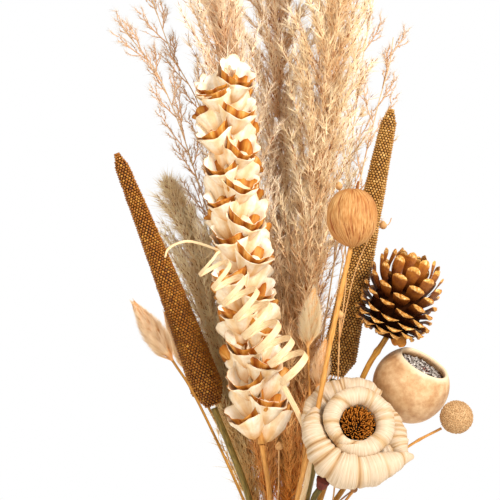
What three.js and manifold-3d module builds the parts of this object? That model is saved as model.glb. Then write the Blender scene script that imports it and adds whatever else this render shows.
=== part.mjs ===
// A dried bunch in a plain vase: pampas plumes, reed sprays, millet, a spike of papery bells, a curl of
// cane, bunny tails, a ribbed nut, a pine cone, a seed cup, a button flower, a husk rose and flax.
// Millimetres, +Z up, the middle of the vase's flat foot at the origin, the front of the bunch at -Y.
import * as THREE from 'three';
import { mergeVertices } from 'three/addons/utils/BufferGeometryUtils.js';
import Module from 'manifold-3d';

const wasm = await Module();
wasm.setup();

const TURN = 2 * Math.PI;
const GOLDEN_ANGLE = 2.39996;
const GAP = 0.3;
const WELD = 1e-4;

// Vase
const VASE_HEIGHT = 210;
const FOOT_RADIUS = 45;
const BELLY_RADIUS = 70;
const BELLY_HEIGHT = 80;
const NECK_RADIUS = 33;
const NECK_HEIGHT = 178;
const LIP_RADIUS = 41;
const VASE_WALL = 5;
const VASE_FLOOR = 8;
const VASE_RINGS = 7;
const VASE_SIDES = 20;

// Places of the stems in the neck
const PLACE_PITCH = 7.6;
const PLACES_PER_RING = 6;
const MOUTH_SPREAD = 1.15;
const MOUTH_CLEARANCE = 2;

// Stems
const STEM_CORNERS = 3;
const PLUME_STALK_RADIUS = 2.3;
const MILLET_STEM_RADIUS = 2.5;
const SPIKE_STEM_RADIUS = 2;
const TAIL_STEM_RADIUS = 1;
const NUT_STICK_RADIUS = 1.8;
const CONE_STICK_RADIUS = 2.2;
const CUP_STICK_RADIUS = 2;
const BUTTON_STEM_RADIUS = 1;
const ROSE_STICK_RADIUS = 2.4;
const FLAX_STEM_RADIUS = 0.8;

// Plumes
const CORE_LEAST_RADIUS = 1.5;
const CORE_SHARE = 0.24;
const CORE_RIDGE = 0.5;
const CORE_SIDES = 5;
const CORE_RINGS = 8;
const STRAND_WIDTH = 13;
const STRAND_THICKNESS = 2.4;
const STRAND_SPAN = 96;

// Reeds
const REED_RADIUS = 1.3;
const REED_JOINTS = 10;
const TWIG_LENGTH = 36;
const TWIG_RADIUS = 1.3;

// Millet
const MILLET_SIDES = 14;
const MILLET_RINGS = 25;
const GRAIN_RELIEF = 0.9;

// Bells
const BELL_PAIRS = 20;
const BELL_SIZE = 17.5;
const BELL_ROOT = 5.5;
const BELL_LOBES = 4;
const BELL_TILT = 0.42;

// Cane curl
const CURL_RADIUS = 13.4;
const CURL_TURNS = 8.5;
const CURL_STEPS_PER_TURN = 8;
const CANE_WIDTH = 5.4;
const CANE_THICKNESS = 1.4;
const LOOSE_END_WIDTH = 2;

// Bunny tails
const TAIL_HOLLOW = 0.8;
const TAIL_LEAST_RADIUS = 0.4;
const TAIL_AWNS = 9;
const AWN_RADIUS = 1.3;

// Nut, cone, cup and button
const NUT_RADIUS = 18.2;
const NUT_HALF_HEIGHT = 21.4;
const NUT_RIBS = 10;
const CONE_HEIGHT = 66;
const CONE_RADIUS = 29.5;
const CONE_CORE_SHARE = 0.5;
const CONE_SCALES = 38;
const SCALE_THICKNESS = 3.8;
const CUP_RADIUS = 28.3;
const CUP_MOUTH_RADIUS = 20;
const CUP_WALL = 3.6;
const CUP_SIDES = 15;
const BUTTON_RADIUS = 12.4;

// Husk rose
const ROSE_RING_RADIUS = 18.9;
const HUSK_WRINKLE = 0.06;
const STAMEN_COUNT = 22;
const STAMEN_LENGTH = 8;

// Flax
const POD_RADIUS = 2.8;

const ACROSS = new THREE.Vector3(0, 1, 0);
const UP = new THREE.Vector3(0, 0, 1);

function at(x, y, z) {
  return new THREE.Vector3(x, y, z);
}

// A repeatable stream of numbers from 0 to 1
function seeded(seed) {
  let state = seed;
  return () => {
    state = (state * 16807) % 2147483647;
    return state / 2147483647;
  };
}

function finish(colour, roughness) {
  return new THREE.MeshStandardMaterial({ color: colour, roughness, metalness: 0 });
}

function named(name, geometry, colour, roughness) {
  const mesh = new THREE.Mesh(geometry, finish(colour, roughness));
  mesh.name = name;
  return mesh;
}

// A path whose rings fall on its own points, so that bends get rings and straight runs need none
class PointPath extends THREE.CatmullRomCurve3 {
  getUtoTmapping(u) {
    return u;
  }
}

// A closed body along a path. reachAt gives the distance from the path to the skin, from the share of the
// way along, the ring and the corner, and hint sets where corner 0 faces.
function bodyAlong(path, { sides, rings, pointed = false, hint = ACROSS, reachAt }) {
  const body = new THREE.CylinderGeometry(pointed ? 0 : 1, 1, 1, sides, rings);
  const place = body.getAttribute('position');
  for (let i = 0; i < place.count; i++) {
    const along = THREE.MathUtils.clamp(place.getY(i) + 0.5, 0, 1);
    const angle = Math.atan2(place.getX(i), place.getZ(i));
    const onAxis = Math.hypot(place.getX(i), place.getZ(i)) < 0.001;
    const ring = Math.round(along * rings);
    const corner = Math.round((angle / TURN) * sides);
    const reach = onAxis ? 0 : reachAt(along, ring, corner, angle);
    const tangent = path.getTangentAt(along);
    const side = new THREE.Vector3().crossVectors(tangent, hint).normalize();
    const face = new THREE.Vector3().crossVectors(side, tangent);
    const point = path.getPointAt(along);
    point.addScaledVector(side, reach * Math.sin(angle));
    point.addScaledVector(face, reach * Math.cos(angle));
    place.setXYZ(i, point.x, point.y, point.z);
  }
  return body;
}

// Turns the faces' diagonals so that they run between hollows, which leaves each grain a point of its own
function splitIntoGrains(body, sides, rings) {
  const corners = body.index.array;
  for (let column = 0; column < sides; column++) {
    for (let row = 0; row < rings; row++) {
      const start = 6 * (column * rings + row);
      const [a, b, d, , c] = corners.slice(start, start + 6);
      if ((column + row) % 2 === 0) {
        corners.set([a, b, c, a, c, d], start);
      }
    }
  }
  return body;
}

// A three-sided pointed blade, bent by its middle point
function needle(root, middle, tip, radius, rings = 2) {
  const path = new THREE.QuadraticBezierCurve3(root, middle, tip);
  const reachAt = (along) => radius * (1 - 0.45 * along);
  return bodyAlong(path, { sides: 3, rings, pointed: true, reachAt });
}

// The section of a flat strip: wide to the sides and thin through
function stripReach(width, thickness, corner) {
  return Math.abs(corner) % 2 === 0 ? width / 2 : thickness / 2;
}

// A strand of plume hair: a flat lock set askew, narrow at its root and drawn to a point
function strand(root, middle, tip, out) {
  const askew = new THREE.Vector3().crossVectors(UP, out).add(out);
  const path = new THREE.QuadraticBezierCurve3(root, middle, tip);
  const reachAt = (along, ring, corner) =>
    stripReach(STRAND_THICKNESS, STRAND_WIDTH, corner) * (0.45 + 1.1 * along);
  return bodyAlong(path, { sides: 4, rings: 2, pointed: true, hint: askew, reachAt });
}

// The solid of a closed geometry, with its shared corners merged and its empty triangles left out
function solidOf(geometry) {
  const bare = geometry.clone();
  bare.deleteAttribute('normal');
  bare.deleteAttribute('uv');
  const merged = mergeVertices(bare, WELD);
  const corners = merged.index.array;
  const kept = [];
  for (let i = 0; i < corners.length; i += 3) {
    const [a, b, c] = corners.slice(i, i + 3);
    if (a !== b && b !== c && c !== a) {
      kept.push(a, b, c);
    }
  }
  const vertProperties = Float32Array.from(merged.getAttribute('position').array);
  const triVerts = Uint32Array.from(kept);
  return new wasm.Manifold(new wasm.Mesh({ numProp: 3, vertProperties, triVerts }));
}

// Joins geometries into one body, without loose scraps and with sealed hollows filled
function fuse(geometries) {
  const joined = wasm.Manifold.union(geometries.map(solidOf));
  const bodies = joined.decompose();
  bodies.sort((a, b) => b.volume() - a.volume());
  const mesh = bodies[0].getMesh();
  const geometry = new THREE.BufferGeometry();
  geometry.setAttribute('position', new THREE.BufferAttribute(mesh.vertProperties, 3));
  geometry.setIndex(new THREE.BufferAttribute(mesh.triVerts, 1));
  geometry.computeVertexNormals();
  return geometry;
}

// A place for a stem in the neck: one in the middle, then rings of 6, 12 and 18
function placeInNeck(ring, number) {
  const angle = (TURN * number) / Math.max(1, PLACES_PER_RING * ring);
  const reach = PLACE_PITCH * ring;
  return new THREE.Vector2(reach * Math.cos(angle), reach * Math.sin(angle));
}

// The points of a stem from the vase's floor, upright to the neck and fanning out at the mouth
function rootPoints(ring, number) {
  const place = placeInNeck(ring, number);
  const mouth = place.clone().multiplyScalar(MOUTH_SPREAD);
  return [
    at(place.x, place.y, VASE_FLOOR + GAP),
    at(place.x, place.y, NECK_HEIGHT),
    at(mouth.x, mouth.y, VASE_HEIGHT + MOUTH_CLEARANCE),
  ];
}

function tube(points, radius) {
  const section = new THREE.Shape();
  section.absarc(0, 0, radius, 0, TURN);
  return new THREE.ExtrudeGeometry(section, {
    steps: points.length - 1,
    curveSegments: STEM_CORNERS,
    extrudePath: new PointPath(points),
  });
}

function stem(name, points, radius, colour) {
  return named(name, tube(points, radius), colour, 0.75);
}

function makeVase() {
  const outside = new THREE.SplineCurve([
    new THREE.Vector2(FOOT_RADIUS, 0),
    new THREE.Vector2(BELLY_RADIUS, BELLY_HEIGHT),
    new THREE.Vector2(NECK_RADIUS, NECK_HEIGHT),
    new THREE.Vector2(LIP_RADIUS, VASE_HEIGHT),
  ]).getPoints(VASE_RINGS);
  const inside = outside
    .filter((point) => point.y > VASE_FLOOR)
    .map((point) => new THREE.Vector2(point.x - VASE_WALL, point.y))
    .reverse();
  const floorEdge = new THREE.Vector2(FOOT_RADIUS - VASE_WALL, VASE_FLOOR);
  const footMiddle = new THREE.Vector2(0, 0);
  const floorMiddle = new THREE.Vector2(0, VASE_FLOOR);
  const profile = [footMiddle, ...outside, ...inside, floorEdge, floorMiddle];
  const vase = named('vase', new THREE.LatheGeometry(profile, VASE_SIDES), 0xe8dfd0, 0.7);
  vase.rotation.x = Math.PI / 2;
  return vase;
}

// How wide a plume is along its crown, from 0 at its foot to 0 at its tip
function plumeSwell(along) {
  return Math.pow(along, 0.55) * Math.pow(1 - along, 0.42) * 1.75;
}

// A plume: its stalk, a slim core, and strands that sweep up and out all round and droop at their ends
function makePlume(name, { root, crown, halfWidth, strands, room, seed, colour }) {
  const random = seeded(seed);
  const path = new THREE.CatmullRomCurve3(crown);
  const length = path.getLength();
  const stalk = tube([...root, crown[0], path.getPointAt(0.15)], PLUME_STALK_RADIUS);
  const core = bodyAlong(path, {
    sides: CORE_SIDES,
    rings: CORE_RINGS,
    pointed: true,
    reachAt: (along, ring, corner) => {
      const ridge = 1 + CORE_RIDGE * (Math.abs(ring + corner) % 2);
      return CORE_LEAST_RADIUS + CORE_SHARE * halfWidth * plumeSwell(0.9 * along) * ridge;
    },
  });
  const parts = [stalk, core];
  for (let i = 0; i < strands; i++) {
    const along = 0.02 + (0.9 * (i + 0.5)) / strands;
    const lift = (STRAND_SPAN * (0.8 + 0.4 * random())) / length;
    const end = Math.min(1, along + lift);
    const reach = halfWidth * plumeSwell(Math.min(0.97, along + 0.75 * lift)) * (0.85 + 0.2 * random());
    const angle = i * GOLDEN_ANGLE + 0.5 * random();
    const out = at(Math.cos(angle), Math.sin(angle), 0);
    const start = path.getPointAt(along);
    const middle = path.getPointAt(along + 0.62 * (end - along)).addScaledVector(out, 0.5 * reach);
    const tip = path.getPointAt(end).addScaledVector(out, reach);
    room.clampPoint(middle, middle);
    room.clampPoint(tip, tip);
    parts.push(strand(start, middle, tip, out));
  }
  return named(name, fuse(parts), colour, 0.95);
}

// An open reed spray: a tapered stalk with one twig at each joint, turned round the stalk joint by joint
function makeReed(name, { root, crown, room, seed, colour }) {
  const random = seeded(seed);
  const joints = new THREE.CatmullRomCurve3(crown).getSpacedPoints(REED_JOINTS);
  const points = [...root, ...joints];
  const stalk = bodyAlong(new PointPath(points), {
    sides: 4,
    rings: points.length - 1,
    pointed: true,
    reachAt: (along) => REED_RADIUS * (1 - 0.5 * along),
  });
  const parts = [stalk];
  for (let i = 1; i < REED_JOINTS; i++) {
    const angle = i * GOLDEN_ANGLE + seed;
    const out = at(Math.cos(angle), Math.sin(angle), 0);
    const length = TWIG_LENGTH * (1 - 0.45 * (i / REED_JOINTS)) * (0.8 + 0.4 * random());
    const heading = joints[i + 1].clone().sub(joints[i]).normalize();
    const middle = joints[i].clone().addScaledVector(heading, 0.55 * length);
    middle.addScaledVector(out, 0.25 * length);
    const tip = joints[i].clone().addScaledVector(heading, 0.85 * length);
    tip.addScaledVector(out, 0.6 * length);
    room.clampPoint(middle, middle);
    room.clampPoint(tip, tip);
    const path = new THREE.QuadraticBezierCurve3(joints[i], middle, tip);
    const reachAt = (along) => TWIG_RADIUS * (0.5 + along);
    parts.push(bodyAlong(path, { sides: 3, rings: 2, pointed: true, reachAt }));
  }
  return named(name, fuse(parts), colour, 0.9);
}

// A millet head, covered in grains that stand out and in like a chequerboard
function makeMilletHead(name, base, tip, bulge, baseRadius, tipRadius, colour) {
  const middle = base.clone().lerp(tip, 0.5).add(bulge);
  const path = new THREE.QuadraticBezierCurve3(base, middle, tip);
  const head = bodyAlong(path, {
    sides: MILLET_SIDES,
    rings: MILLET_RINGS,
    reachAt: (along, ring, corner) => {
      const ends = Math.min(1, 0.45 + 9 * along, 0.35 + 14 * (1 - along));
      const grain = Math.abs(ring + corner) % 2 === 0 ? GRAIN_RELIEF : -GRAIN_RELIEF;
      return THREE.MathUtils.lerp(baseRadius, tipRadius, along) * ends + grain;
    },
  });
  return named(name, splitIntoGrains(head, MILLET_SIDES, MILLET_RINGS), colour, 0.8);
}

// A shallow papery bell that opens along +Y, with its rim cut in lobes
function bellGeometry(size) {
  const profile = [
    new THREE.Vector2(0, 0),
    new THREE.Vector2(size, 0.62 * size),
    new THREE.Vector2(0, 0.3 * size),
  ];
  const bell = new THREE.LatheGeometry(profile, 2 * BELL_LOBES);
  const place = bell.getAttribute('position');
  for (let i = 0; i < place.count; i++) {
    const reach = Math.hypot(place.getX(i), place.getZ(i));
    const corner = Math.round((Math.atan2(place.getX(i), place.getZ(i)) / TURN) * 2 * BELL_LOBES);
    if (reach > 0.9 * size && Math.abs(corner) % 2 === 1) {
      place.setXYZ(i, 0.78 * place.getX(i), place.getY(i) - 0.08 * size, 0.78 * place.getZ(i));
    }
  }
  return bell;
}

// Bells in opposite pairs, each pair a quarter turn from the last, so that two columns face each side
function makeBellSpike() {
  const random = seeded(41);
  const path = new THREE.CatmullRomCurve3([
    at(-20, -20, 284),
    at(-26, -20, 330),
    at(-33, -20, 392),
    at(-43, -20, 465),
    at(-46, -20, 530),
    at(-46.5, -20, 564),
  ]);
  const core = bodyAlong(path, {
    sides: 7,
    rings: 9,
    pointed: true,
    reachAt: (along) => 7.5 - 2 * along,
  });
  const parts = [core];
  for (let pair = 0; pair < BELL_PAIRS; pair++) {
    for (const half of [0, 0.5]) {
      const along = 0.035 + (0.925 * pair) / (BELL_PAIRS - 1);
      const angle = TURN * (0.125 + half + 0.25 * (pair % 2)) + 0.2 * (random() - 0.5);
      const size = BELL_SIZE * (1 - 0.14 * along) * (0.94 + 0.12 * random());
      const out = at(Math.cos(angle), Math.sin(angle), 0);
      const heading = out.clone().multiplyScalar(Math.cos(BELL_TILT));
      heading.addScaledVector(UP, Math.sin(BELL_TILT));
      const side = new THREE.Vector3().crossVectors(heading, UP).normalize();
      const third = new THREE.Vector3().crossVectors(side, heading);
      const root = path.getPointAt(along).addScaledVector(out, BELL_ROOT - 2 * along);
      const bell = bellGeometry(size);
      bell.applyMatrix4(new THREE.Matrix4().makeBasis(side, heading, third).setPosition(root));
      parts.push(bell);
    }
  }
  const topBell = bellGeometry(0.7 * BELL_SIZE).rotateX(Math.PI / 2);
  const summit = path.getPointAt(1);
  parts.push(topBell.translate(summit.x, summit.y, summit.z - 4));
  return named('bell_spike', fuse(parts), 0xfaebd2, 0.85);
}

// One strip of cane: straight up from the vase, wound like a corkscrew, and out to a loose thin end
function makeCaneCurl() {
  const top = at(-60, -62, 423.5);
  const foot = at(5, -62, 340);
  const axis = foot.clone().sub(top).normalize();
  const side = at(-axis.z, 0, axis.x);
  const front = at(0, -1, 0);
  const stepCount = CURL_TURNS * CURL_STEPS_PER_TURN;
  const winding = [];
  for (let step = 0; step <= stepCount; step++) {
    const angle = (TURN * step) / CURL_STEPS_PER_TURN;
    const radius = CURL_RADIUS * (0.72 + 0.28 * Math.min(1, (3 * step) / stepCount));
    const point = top.clone().lerp(foot, step / stepCount);
    point.addScaledVector(side, radius * Math.cos(angle));
    point.addScaledVector(front, radius * Math.sin(angle));
    winding.push(point);
  }
  const coil = bodyAlong(new PointPath(winding), {
    sides: 4,
    rings: stepCount,
    hint: axis,
    reachAt: (along, ring, corner) =>
      stripReach(CANE_WIDTH * (0.55 + 0.45 * Math.min(1, 2.5 * along)), CANE_THICKNESS, corner),
  });
  const loose = [winding[0], at(-70, -58, 433.5), at(-86.5, -60, 429), at(-89.7, -60, 422)];
  const looseEnd = bodyAlong(new PointPath(loose), {
    sides: 4,
    rings: loose.length - 1,
    pointed: true,
    reachAt: (along, ring, corner) => stripReach(LOOSE_END_WIDTH, CANE_THICKNESS, corner) * (1 - 0.4 * along),
  });
  const last = winding[winding.length - 1];
  const leg = [...rootPoints(2, 9), at(8, -30, 252), at(14, -38, 280), at(10, -44, 297), last];
  const straight = bodyAlong(new PointPath(leg), {
    sides: 4,
    rings: leg.length - 1,
    reachAt: (along, ring, corner) => stripReach(CANE_THICKNESS * 1.5, CANE_WIDTH, corner),
  });
  return named('cane_curl', fuse([coil, looseEnd, straight]), 0xf5dcaf, 0.6);
}

// A bunny tail: a plump core of spikelets with fine awns out of it
function makeBunnyTail(name, base, tip, radius, colour, seed) {
  const random = seeded(seed);
  const path = new THREE.LineCurve3(base, tip);
  const length = base.distanceTo(tip);
  const heading = tip.clone().sub(base).normalize();
  const swell = (along) => Math.sin(Math.PI * Math.pow(0.06 + 0.92 * along, 0.75));
  const core = bodyAlong(path, {
    sides: 8,
    rings: 6,
    reachAt: (along, ring, corner) => {
      const spikelet = Math.abs(ring + corner) % 2 === 0 ? 1 : TAIL_HOLLOW;
      return radius * swell(along) * spikelet + TAIL_LEAST_RADIUS;
    },
  });
  const parts = [splitIntoGrains(core, 8, 6)];
  const side = new THREE.Vector3().crossVectors(heading, ACROSS).normalize();
  for (let i = 0; i < TAIL_AWNS; i++) {
    const along = 0.06 + (0.6 * (i + 0.5)) / TAIL_AWNS;
    const out = side.clone().applyAxisAngle(heading, i * GOLDEN_ANGLE + random());
    const start = base.clone().lerp(tip, along);
    const middle = start.clone().addScaledVector(heading, 0.15 * length).addScaledVector(out, 0.8 * radius);
    const end = start.clone().addScaledVector(heading, 0.34 * length).addScaledVector(out, 0.98 * radius);
    parts.push(needle(start, middle, end, AWN_RADIUS, 2));
  }
  return named(name, fuse(parts), colour, 0.95);
}

// A ribbed nut on end, with a small pin on top
function makeNut(centre) {
  const base = centre.clone().addScaledVector(UP, -NUT_HALF_HEIGHT);
  const top = centre.clone().addScaledVector(UP, NUT_HALF_HEIGHT);
  const shell = bodyAlong(new THREE.LineCurve3(base, top), {
    sides: 2 * NUT_RIBS,
    rings: 7,
    reachAt: (along, ring, corner) => {
      const height = Math.abs(2 * along - 1);
      const rib = Math.abs(corner) % 2 === 0 ? 1 : 0.94;
      return Math.max(5, NUT_RADIUS * Math.sqrt(1 - Math.pow(height, 2.2))) * rib;
    },
  });
  const pinFoot = top.clone().add(at(1, 0, -3));
  const pin = needle(pinFoot, pinFoot.clone().add(at(1, 0, 4)), pinFoot.clone().add(at(2, 0, 7)), 1.4, 1);
  return named('ribbed_nut', fuse([shell, pin]), 0xe1af73, 0.8);
}

// One woody scale: narrow at its root, widest near its rhombic end, and drawn to a point
function coneScale(root, lip, tip, width, thickness, axis) {
  return bodyAlong(new PointPath([root, lip, tip]), {
    sides: 4,
    rings: 2,
    pointed: true,
    hint: axis,
    reachAt: (along, ring, corner) => stripReach(2 * thickness, 2 * width, corner) * (ring === 0 ? 0.4 : 1),
  });
}

// A pine cone: scales in a spiral round a slim core, flat at the foot and closing towards the top
function makePineCone(base, heading) {
  const axis = heading.clone().normalize();
  const across = new THREE.Vector3().crossVectors(axis, ACROSS).normalize();
  const reachOf = (along) => CONE_RADIUS * Math.pow(Math.sin(Math.PI * (0.2 + 0.74 * along)), 0.8);
  const top = base.clone().addScaledVector(axis, CONE_HEIGHT * 0.9);
  const core = bodyAlong(new THREE.LineCurve3(base, top), {
    sides: 7,
    rings: 4,
    pointed: true,
    reachAt: (along) => CONE_CORE_SHARE * reachOf(along),
  });
  const parts = [core];
  for (let i = 0; i < CONE_SCALES; i++) {
    const along = (i + 0.5) / CONE_SCALES;
    const out = across.clone().applyAxisAngle(axis, i * GOLDEN_ANGLE);
    const reach = reachOf(along);
    const slope = 0.05 + 0.75 * along;
    const root = base.clone().addScaledVector(axis, CONE_HEIGHT * (0.04 + 0.78 * along));
    const lip = root.clone().addScaledVector(out, 0.86 * reach).addScaledVector(axis, 0.5 * reach * slope);
    const tip = root.clone().addScaledVector(out, reach).addScaledVector(axis, 0.85 * reach * slope);
    parts.push(coneScale(root, lip, tip, 2.4 + 0.19 * reach, SCALE_THICKNESS, axis));
  }
  return named('pine_cone', fuse(parts), 0x784119, 0.7);
}

// Turns a lathed piece, made along +Y, to face a direction at a place
function face(mesh, centre, heading) {
  mesh.quaternion.setFromUnitVectors(ACROSS, heading);
  mesh.position.copy(centre);
  return mesh;
}

// A hollow round seed cup with a wide mouth
function makeSeedCup(centre, heading) {
  const mouth = Math.acos(Math.sqrt(CUP_RADIUS ** 2 - CUP_MOUTH_RADIUS ** 2) / CUP_RADIUS);
  const inner = CUP_RADIUS - CUP_WALL;
  const profile = [];
  const outerRings = 7;
  for (let i = 0; i <= outerRings; i++) {
    const angle = Math.PI - ((Math.PI - mouth) * i) / outerRings;
    profile.push(new THREE.Vector2(CUP_RADIUS * Math.sin(angle), CUP_RADIUS * Math.cos(angle)));
  }
  const innerRings = 5;
  for (let i = 0; i <= innerRings; i++) {
    const angle = mouth + 0.04 + ((Math.PI - mouth - 0.04) * i) / innerRings;
    profile.push(new THREE.Vector2(inner * Math.sin(angle), inner * Math.cos(angle)));
  }
  profile[0].x = 0;
  profile[profile.length - 1].x = 0;
  const cup = named('seed_cup', new THREE.LatheGeometry(profile, CUP_SIDES), 0xebc89b, 0.7);
  return face(cup, centre, heading);
}

// The dry pith in the cup, filling it to a rough top a little below the mouth
function makeCupPith(centre, heading) {
  const random = seeded(7);
  const radius = CUP_RADIUS - CUP_WALL - 1.5;
  const edge = 0.95;
  const profile = [];
  const rings = 4;
  for (let i = 0; i <= rings; i++) {
    const angle = Math.PI - ((Math.PI - edge) * i) / rings;
    profile.push(new THREE.Vector2(radius * Math.sin(angle), radius * Math.cos(angle)));
  }
  const level = radius * Math.cos(edge);
  profile[0].x = 0;
  profile.push(new THREE.Vector2(0.55 * radius, level - 1));
  profile.push(new THREE.Vector2(0.28 * radius, level));
  profile.push(new THREE.Vector2(0, level - 1));
  const turned = new THREE.LatheGeometry(profile, CUP_SIDES);
  const geometry = mergeVertices(turned.deleteAttribute('normal').deleteAttribute('uv'));
  const place = geometry.getAttribute('position');
  for (let i = 0; i < place.count; i++) {
    const reach = Math.hypot(place.getX(i), place.getZ(i));
    if (place.getY(i) > level - 2 && reach < 0.7 * radius) {
      place.setY(i, place.getY(i) + 3 * (random() - 0.6));
    }
  }
  geometry.computeVertexNormals();
  return face(named('cup_pith', geometry, 0x9a8d84, 0.95), centre, heading);
}

// A round button flower, knobbly all over
function makeButton(centre) {
  const base = centre.clone().addScaledVector(UP, -BUTTON_RADIUS);
  const top = centre.clone().addScaledVector(UP, BUTTON_RADIUS);
  const ball = bodyAlong(new THREE.LineCurve3(base, top), {
    sides: 14,
    rings: 9,
    reachAt: (along, ring, corner) => {
      const height = 2 * along - 1;
      const bump = Math.abs(ring + corner) % 2 === 0 ? 0.6 : -0.5;
      return Math.max(2, BUTTON_RADIUS * Math.sqrt(1 - height * height)) + bump;
    },
  });
  return named('button_flower', splitIntoGrains(ball, 14, 9), 0xe1be9b, 0.85);
}

// A rolled husk along a path, gathered into cross wrinkles by every second ring
function huskRoll(points, { sides, rings, radii }) {
  const path = new THREE.CatmullRomCurve3(points);
  const last = radii.length - 1;
  const sizes = new THREE.SplineCurve(radii.map((radius, i) => new THREE.Vector2(i / last, radius)));
  return bodyAlong(path, {
    sides,
    rings,
    hint: UP,
    reachAt: (along, ring) => sizes.getPoint(along).y * (1 + HUSK_WRINKLE * (ring % 2 === 0 ? 1 : -1)),
  });
}

// The rose in its own frame, seen from +Z: an inner roll round the hole, outer rolls, and a gathered foot
function makeRoseHusk() {
  const inner = [];
  for (let i = 0; i <= 12; i++) {
    const angle = TURN * (0.62 + (1.02 * i) / 12);
    const reach = ROSE_RING_RADIUS + 1.2 * (i / 12);
    inner.push(at(reach * Math.cos(angle), reach * Math.sin(angle), 7 + 2 * (i / 12)));
  }
  const innerRoll = huskRoll(inner, { sides: 6, rings: 20, radii: [4.5, 6.6, 6.6, 6.6, 6.4, 5] });
  const lowerRoll = huskRoll(
    [
      at(-31, 4, 2),
      at(-31.5, -8, 1),
      at(-20, -28, 0),
      at(-2, -34, 0),
      at(20, -29, -1),
      at(32, -24, -3),
      at(40, -22, -6),
    ],
    { sides: 7, rings: 18, radii: [4, 8.6, 12.8, 13.5, 12, 8, 2] },
  );
  const upperRoll = huskRoll(
    [
      at(-28, 3, -17),
      at(-25, 16, -15.5),
      at(-10, 27, -10),
      at(12, 27, -9),
      at(27, 14, -10),
      at(34, -4, -9),
      at(38, -20, -8),
    ],
    { sides: 6, rings: 16, radii: [4, 6.5, 9, 8.5, 6.5, 6, 3] },
  );
  const foot = new THREE.QuadraticBezierCurve3(at(0, 0, -5.2), at(0, 0, -22), at(-19.5, -29.5, -32));
  const gathered = bodyAlong(foot, {
    sides: 10,
    rings: 5,
    hint: at(1, 0, 0),
    reachAt: (along, ring, corner) => (23 - 18 * Math.pow(along, 0.8)) * (1 + 0.05 * (Math.abs(corner) % 2)),
  });
  return fuse([innerRoll, lowerRoll, upperRoll, gathered]);
}

// Brown stamens on a small disc in the hole of the rose
function makeRoseStamens() {
  const disc = bodyAlong(new THREE.LineCurve3(at(0, 0, -4.6), at(0, 0, -2)), {
    sides: 10,
    rings: 1,
    reachAt: () => 10.5,
  });
  const parts = [disc];
  for (let i = 0; i < STAMEN_COUNT; i++) {
    const reach = 8.6 * Math.sqrt((i + 0.5) / STAMEN_COUNT);
    const out = at(Math.cos(i * GOLDEN_ANGLE), Math.sin(i * GOLDEN_ANGLE), 0);
    const root = out.clone().multiplyScalar(reach * 0.85).setZ(-3.4);
    const tip = out.clone().multiplyScalar(reach * 1.12).setZ(STAMEN_LENGTH - 2);
    parts.push(needle(root, root.clone().lerp(tip, 0.5), tip, 0.95, 1));
  }
  return fuse(parts);
}

// The rose faces the front, a little up and to the right
function makeRose() {
  const heading = at(0.1, -0.93, 0.35).normalize();
  const right = new THREE.Vector3().crossVectors(UP, heading).normalize();
  const raised = new THREE.Vector3().crossVectors(heading, right);
  const frame = new THREE.Group();
  frame.quaternion.setFromRotationMatrix(new THREE.Matrix4().makeBasis(right, raised, heading));
  frame.position.set(48.2, -66, 302);
  frame.add(named('husk_rose', makeRoseHusk(), 0xfaf0d7, 0.75));
  frame.add(named('rose_stamens', makeRoseStamens(), 0x965514, 0.85));
  return frame;
}

function makeRoseBract() {
  const path = new THREE.LineCurve3(at(25.2, -46.6, 260.6), at(22.6, -42.9, 254.2));
  const bract = bodyAlong(path, {
    sides: 6,
    rings: 3,
    reachAt: (along, ring, corner) => (5.6 - 2.6 * along) * (Math.abs(corner) % 2 === 0 ? 1 : 0.8),
  });
  return named('rose_bract', bract, 0x5a1e0f, 0.7);
}

function pod(centre) {
  const ball = new THREE.SphereGeometry(POD_RADIUS, 5, 3);
  ball.translate(centre.x, centre.y, centre.z);
  return ball;
}

// A flax spray: a thin stem that forks to three round pods, the right one with a hooked tip
function makeFlaxSpray() {
  const trunk = [...rootPoints(3, 17), at(33, -25, 245), at(35, -31, 300), at(37, -42, 378)];
  const fork = at(36.6, -40, 362);
  const parts = [
    tube(trunk, FLAX_STEM_RADIUS),
    tube([fork, at(42, -37, 410), at(39, -36, 450), at(36.7, -36, 472)], FLAX_STEM_RADIUS),
    tube([fork, at(48, -36, 410), at(60, -36, 438), at(69, -36, 445.4)], FLAX_STEM_RADIUS),
    needle(at(69, -36, 445.4), at(73, -36, 446), at(75, -36, 451), 0.9),
    pod(at(37.1, -42, 380)),
    pod(at(36.7, -36, 474)),
    pod(at(69, -36, 445.4)),
  ];
  return named('flax_spray', fuse(parts), 0xb98c5a, 0.8);
}

function makeSinglePod(name, points, colour) {
  const top = points[points.length - 1];
  return named(name, fuse([tube(points, FLAX_STEM_RADIUS), pod(top)]), colour, 0.8);
}

// A room that keeps strands and twigs clear of the pieces beside them
function room(minX, maxX, minY, maxY) {
  return new THREE.Box3(at(minX, minY, -Infinity), at(maxX, maxY, Infinity));
}

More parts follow.
